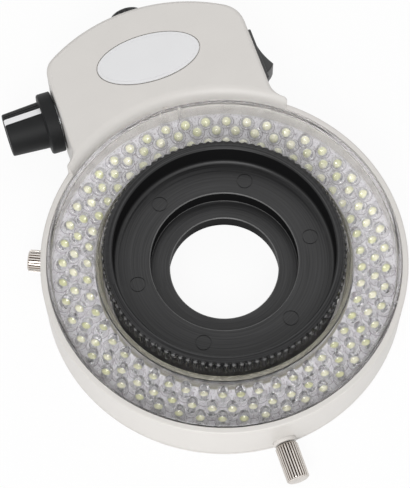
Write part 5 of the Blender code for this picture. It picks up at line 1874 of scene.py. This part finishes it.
@dataclass
class RockerSwitch:
    """The snap-in switch on the right wall: a flanged frame and a concave rocker."""

    along: float = 54.15
    height: float = 11.0
    standoff: float = 0.3
    half_length: float = 7.75
    half_height: float = 5.2
    thickness: float = 1.2
    edge: float = 0.3
    depth: float = 10.5
    body_wall: float = 0.9
    body_sink: float = 0.45
    body_edge: float = 0.2
    well_half: float = 6.05
    well_height: float = 3.5
    well_floor: float = 22.35
    well_edge: float = 0.15
    pivot: float = 26.5
    pivot_hole: float = 1.2
    pivot_reach: Point = (4.0, 18.0)
    terminal_reach: Point = (14.5, 17.3)
    terminal_side: float = 2.0
    # Half length along the box, half height.
    terminal_half: Point = (0.7, 2.3)
    rocker_half: float = 4.44
    rocker_height: float = 3.2
    rocker_tip: float = 3.66
    rocker_heel: float = -25.0
    dip: float = 0.52
    dip_steps: int = 10
    # Radius, half length.
    trunnion: Point = (0.9, 4.1)
    slope: float = 17.0

    def block(self, name: str, reach: Point, half_length: float, half_height: float,
              edge: float = 0.0, middle: float = 0.0) -> Piece:
        """Make a box centred on the switch.

        Args:
            name: the object's name.
            reach: where it starts and ends across the lamp.
            half_length: half its length along the box.
            half_height: half its height.
            edge: width of its roundings.
            middle: how far it is moved along the box.

        Returns:
            The box.
        """
        centre = self.along + middle
        return brick(name, (reach[0], centre - half_length, self.height - half_height),
                     (reach[1], centre + half_length, self.height + half_height), edge)

    def build_frame(self) -> None:
        """Build the flange and the body behind it, with the well for the rocker."""
        back = BOX_RIGHT + self.standoff
        face = back + self.thickness
        flange = self.block("switch_flange", (back, face), self.half_length, self.half_height,
                            self.edge)
        body = self.block("body", (BOX_RIGHT - self.depth, face - self.body_sink),
                          self.well_half + self.body_wall, self.well_height + self.body_wall,
                          self.body_edge)
        carve(flange, [body], Cut.ADD)
        low, high = self.pivot_reach
        tools = [self.block("well", (self.well_floor, face + OVERRUN), self.well_half,
                            self.well_height, self.well_edge),
                 pin("pivot_hole", (self.pivot, self.along, low), (self.pivot, self.along, high),
                     self.pivot_hole, POST_STEPS)]
        for side in (-self.terminal_side, self.terminal_side):
            tools.append(self.block("terminal_slot", self.terminal_reach, *self.terminal_half,
                                    middle=side))
        carve(flange, tools, Cut.TAKE)
        dress(flange, PALETTE.switch, Body.LAMP, "black_plastic", "switch_frame")

    def outline(self) -> list[Point]:
        """Draw the rocker's outline, round on its flanks and hollow on top.

        Returns:
            The points of the outline.
        """
        reach = math.hypot(self.rocker_half, self.rocker_tip)
        top_angle = math.degrees(math.atan2(self.rocker_tip, self.rocker_half))
        right = arc((0.0, 0.0), reach, self.rocker_heel, top_angle, 12)
        across = [1.0 - index / self.dip_steps for index in range(1, 2 * self.dip_steps)]
        hollow = [(self.rocker_half * share, self.rocker_tip - self.dip * (1.0 - share ** 2))
                  for share in across]
        return right + hollow + [(-x, y) for x, y in reversed(right)]

    def build_rocker(self) -> None:
        """Build the rocker with its hollow top and its trunnions."""
        rocker = slab("switch_rocker_paddle", self.outline(), -self.rocker_height,
                      self.rocker_height, self.edge)
        radius, half = self.trunnion
        trunnions = pin("trunnions", (0.0, 0.0, -half), (0.0, 0.0, half), radius, POST_STEPS)
        carve(rocker, [trunnions], Cut.ADD)
        moved(rocker, Matrix.Translation((self.pivot, self.along, self.height)) @
              swing(-90.0 + self.slope))
        dress(rocker, PALETTE.switch, Body.ROCKER, "black_plastic", "switch_rocker", crease=40.0)

    def build(self) -> None:
        """Build the frame and the rocker."""
        self.build_frame()
        self.build_rocker()


@dataclass
class CordGland:
    """The cord gland in the back wall, a domed collar with finger flutes."""

    collar: float = 4.8
    face: float = 0.3
    reach: float = 4.4
    bend: float = 1.0
    # Share of the flutes' depth that each point of the bend takes.
    bend_shares: tuple[float, ...] = (0.0, 0.0, 0.0, 0.0, 0.25, 0.6, 1.0)
    edge: float = 0.2
    neck: float = 3.7
    neck_end: float = -5.65
    bore: float = 2.4
    mouth: float = 0.3
    flutes: int = 12
    flute_steps: int = 12
    flute_depth: float = 0.3

    def flute(self, turn: float) -> float:
        """Return how deep the finger flutes are at an angle."""
        return self.flute_depth * max(0.0, math.cos(turn * self.flutes)) ** 2

    def build(self) -> None:
        """Turn the collar and its neck and lay them on the gland's axis."""
        tip = self.face + self.reach
        profile = [(self.bore, tip - self.mouth), (self.bore + self.mouth, tip)]
        profile += arc((self.collar - self.bend, tip - self.bend), self.bend, 90.0, 0.0, 6)
        profile += [(self.collar, self.face + self.edge), (self.collar - self.edge, self.face),
                    (self.neck, self.face), (self.neck, self.neck_end), (self.bore, self.neck_end)]
        shares = [0.0, 0.0, *self.bend_shares, 1.0, 1.0, 0.0, 0.0, 0.0]
        gland = lathed("cord_gland_collar", profile, self.flutes * self.flute_steps, self.flute,
                       shares)
        moved(gland, Matrix.Translation((GLAND_ACROSS, BOX_BACK, GLAND_HEIGHT)) @
              swing(-90.0, "X"))
        dress(gland, PALETTE.black, Body.LAMP, "black_plastic", "cord_gland")


@dataclass
class InnerParts:
    """The solids inside the case, kept from the frame and given their own finishes."""

    finishes: tuple[tuple[Finish, tuple[str, ...]], ...] = (
        (PALETTE.brass, ("screw_bush_front", "screw_bush_left", "screw_bush_right",
                         "switch_terminal_1", "switch_terminal_2")),
        (PALETTE.steel, ("potentiometer_body", "potentiometer_washer", "potentiometer_shaft")),
        (PALETTE.nickel, ("potentiometer_nut",)),
        (PALETTE.black, ("gland_nut", "output_capacitor", "led_lead_black")),
        (PALETTE.circuit, ("driver_board",)),
        (PALETTE.winding, ("transformer",)),
        (PALETTE.blue, ("mains_capacitor",)),
        (PALETTE.white, ("board_connector",)),
        (PALETTE.red_wire, ("led_lead_red",)))

    def build(self) -> None:
        """Give each kept solid its finish."""
        for finish, names in self.finishes:
            for name in names:
                solid = frame["nodes"][name]
                solid.data.materials.clear()
                solid.data.materials.append(material_of(finish))
                log.info("%s: kept from the frame", name)


@dataclass
class Studio:
    """The pale floor, the soft lights, the white surroundings and the camera."""

    # The camera's aim and distance are in metres, as is what it clips.
    aim: Triple = (0.0, 0.0, 0.018)
    distance: float = 0.47
    elevation: float = 67.14
    azimuth: float = 250.6
    roll: float = 0.64
    lens: float = 135.97
    sensor: float = 36.0
    shift: Point = (-0.0398, 0.0270)
    clip: Point = (0.01, 10.0)
    surround: float = 0.45
    floor_half: float = 1500.0
    floor_colour: Triple = (0.93, 0.93, 0.93)
    floor_roughness: float = 0.9
    floor_white: float = 0.93
    # Name, place and size in metres, power in watts.
    softboxes: tuple[tuple[str, Triple, float, float], ...] = (
        ("softbox_front", (-0.25, -0.55, 0.6), 0.5, 4.4),
        ("softbox_back", (0.35, 0.5, 0.7), 0.6, 1.1))

    def build_floor(self) -> None:
        """Lay a floor that looks white when seen and keeps a soft shadow."""
        shape = bmesh.new()
        bmesh.ops.create_grid(shape, x_segments=4, y_segments=4, size=self.floor_half)
        floor = scaled("studio_floor", shape)
        material = bpy.data.materials.new("floor_white")
        graph = Graph(material)
        graph.surface({"Base Color": self.floor_colour, "Roughness": self.floor_roughness})
        mix = graph.node("MixShader")
        graph.wire(graph.math("MULTIPLY", graph.seen(), self.floor_white), mix.inputs[0])
        graph.wire(graph.tree.nodes["Principled BSDF"].outputs[0], mix.inputs[1])
        graph.wire(graph.node("Emission").outputs[0], mix.inputs[2])
        graph.wire(mix.outputs[0], graph.tree.nodes["Material Output"].inputs["Surface"])
        floor.data.materials.append(material)

    def build_world(self) -> None:
        """Surround the lamp with plain light that looks white when seen."""
        world = bpy.data.worlds.new("studio_white")
        bpy.context.scene.world = world
        graph = Graph(world)
        sky = graph.tree.nodes["Background"].inputs
        graph.wire(graph.mapped(graph.seen(), FULL, (self.surround, 1.0)), sky["Strength"])
        graph.wire(WHITE, sky["Color"])

    def build_lights(self) -> None:
        """Hang the square soft lights, which look at the lamp."""
        for name, place, size, power in self.softboxes:
            data = bpy.data.lights.new(name, "AREA")
            data.shape = "SQUARE"
            data.size = size
            data.energy = power
            light = bpy.data.objects.new(name, data)
            light.location = place
            towards = Vector(self.aim) - Vector(place)
            light.rotation_euler = towards.to_track_quat("-Z", "Y").to_euler()
            bpy.context.scene.collection.objects.link(light)

    def build_camera(self) -> None:
        """Set the camera where the photograph was taken from."""
        data = bpy.data.cameras.new("photo_camera")
        data.sensor_width = self.sensor
        data.lens = self.lens
        data.shift_x, data.shift_y = self.shift
        data.clip_start, data.clip_end = self.clip
        camera = bpy.data.objects.new("photo_camera", data)
        turn, lift = math.radians(self.azimuth), math.radians(self.elevation)
        away = Vector((math.cos(lift) * math.cos(turn), math.cos(lift) * math.sin(turn),
                       math.sin(lift)))
        look = (-away).to_track_quat("-Z", "Y").to_matrix().to_4x4()
        stand = Matrix.Translation(Vector(self.aim) + away * self.distance)
        camera.matrix_world = stand @ look @ swing(self.roll)
        bpy.context.scene.collection.objects.link(camera)
        bpy.context.scene.camera = camera

    def build(self) -> None:
        """Build the whole studio."""
        self.build_floor()
        self.build_world()
        self.build_lights()
        self.build_camera()
        bpy.context.scene.view_settings.view_transform = "Standard"


def main() -> None:
    """Build every sub-assembly and log each as it is ready."""
    logging.basicConfig(level=logging.INFO, format="%(name)s: %(message)s")
    assemblies = [Studio(), Case(), PlateScrews(), NamePlate(), LampBoard(), ClearCover(),
                  AdapterRing(), ThumbScrew("front", 36.9, Body.SCREW_FRONT),
                  ThumbScrew("left", BORE, Body.SCREW_LEFT),
                  ThumbScrew("right", BORE, Body.SCREW_RIGHT),
                  Dimmer(), RockerSwitch(), CordGland(), InnerParts()]
    for assembly in assemblies:
        assembly.build()
        log.info("%s is ready", type(assembly).__name__)


if __name__ == "__main__":
    main()
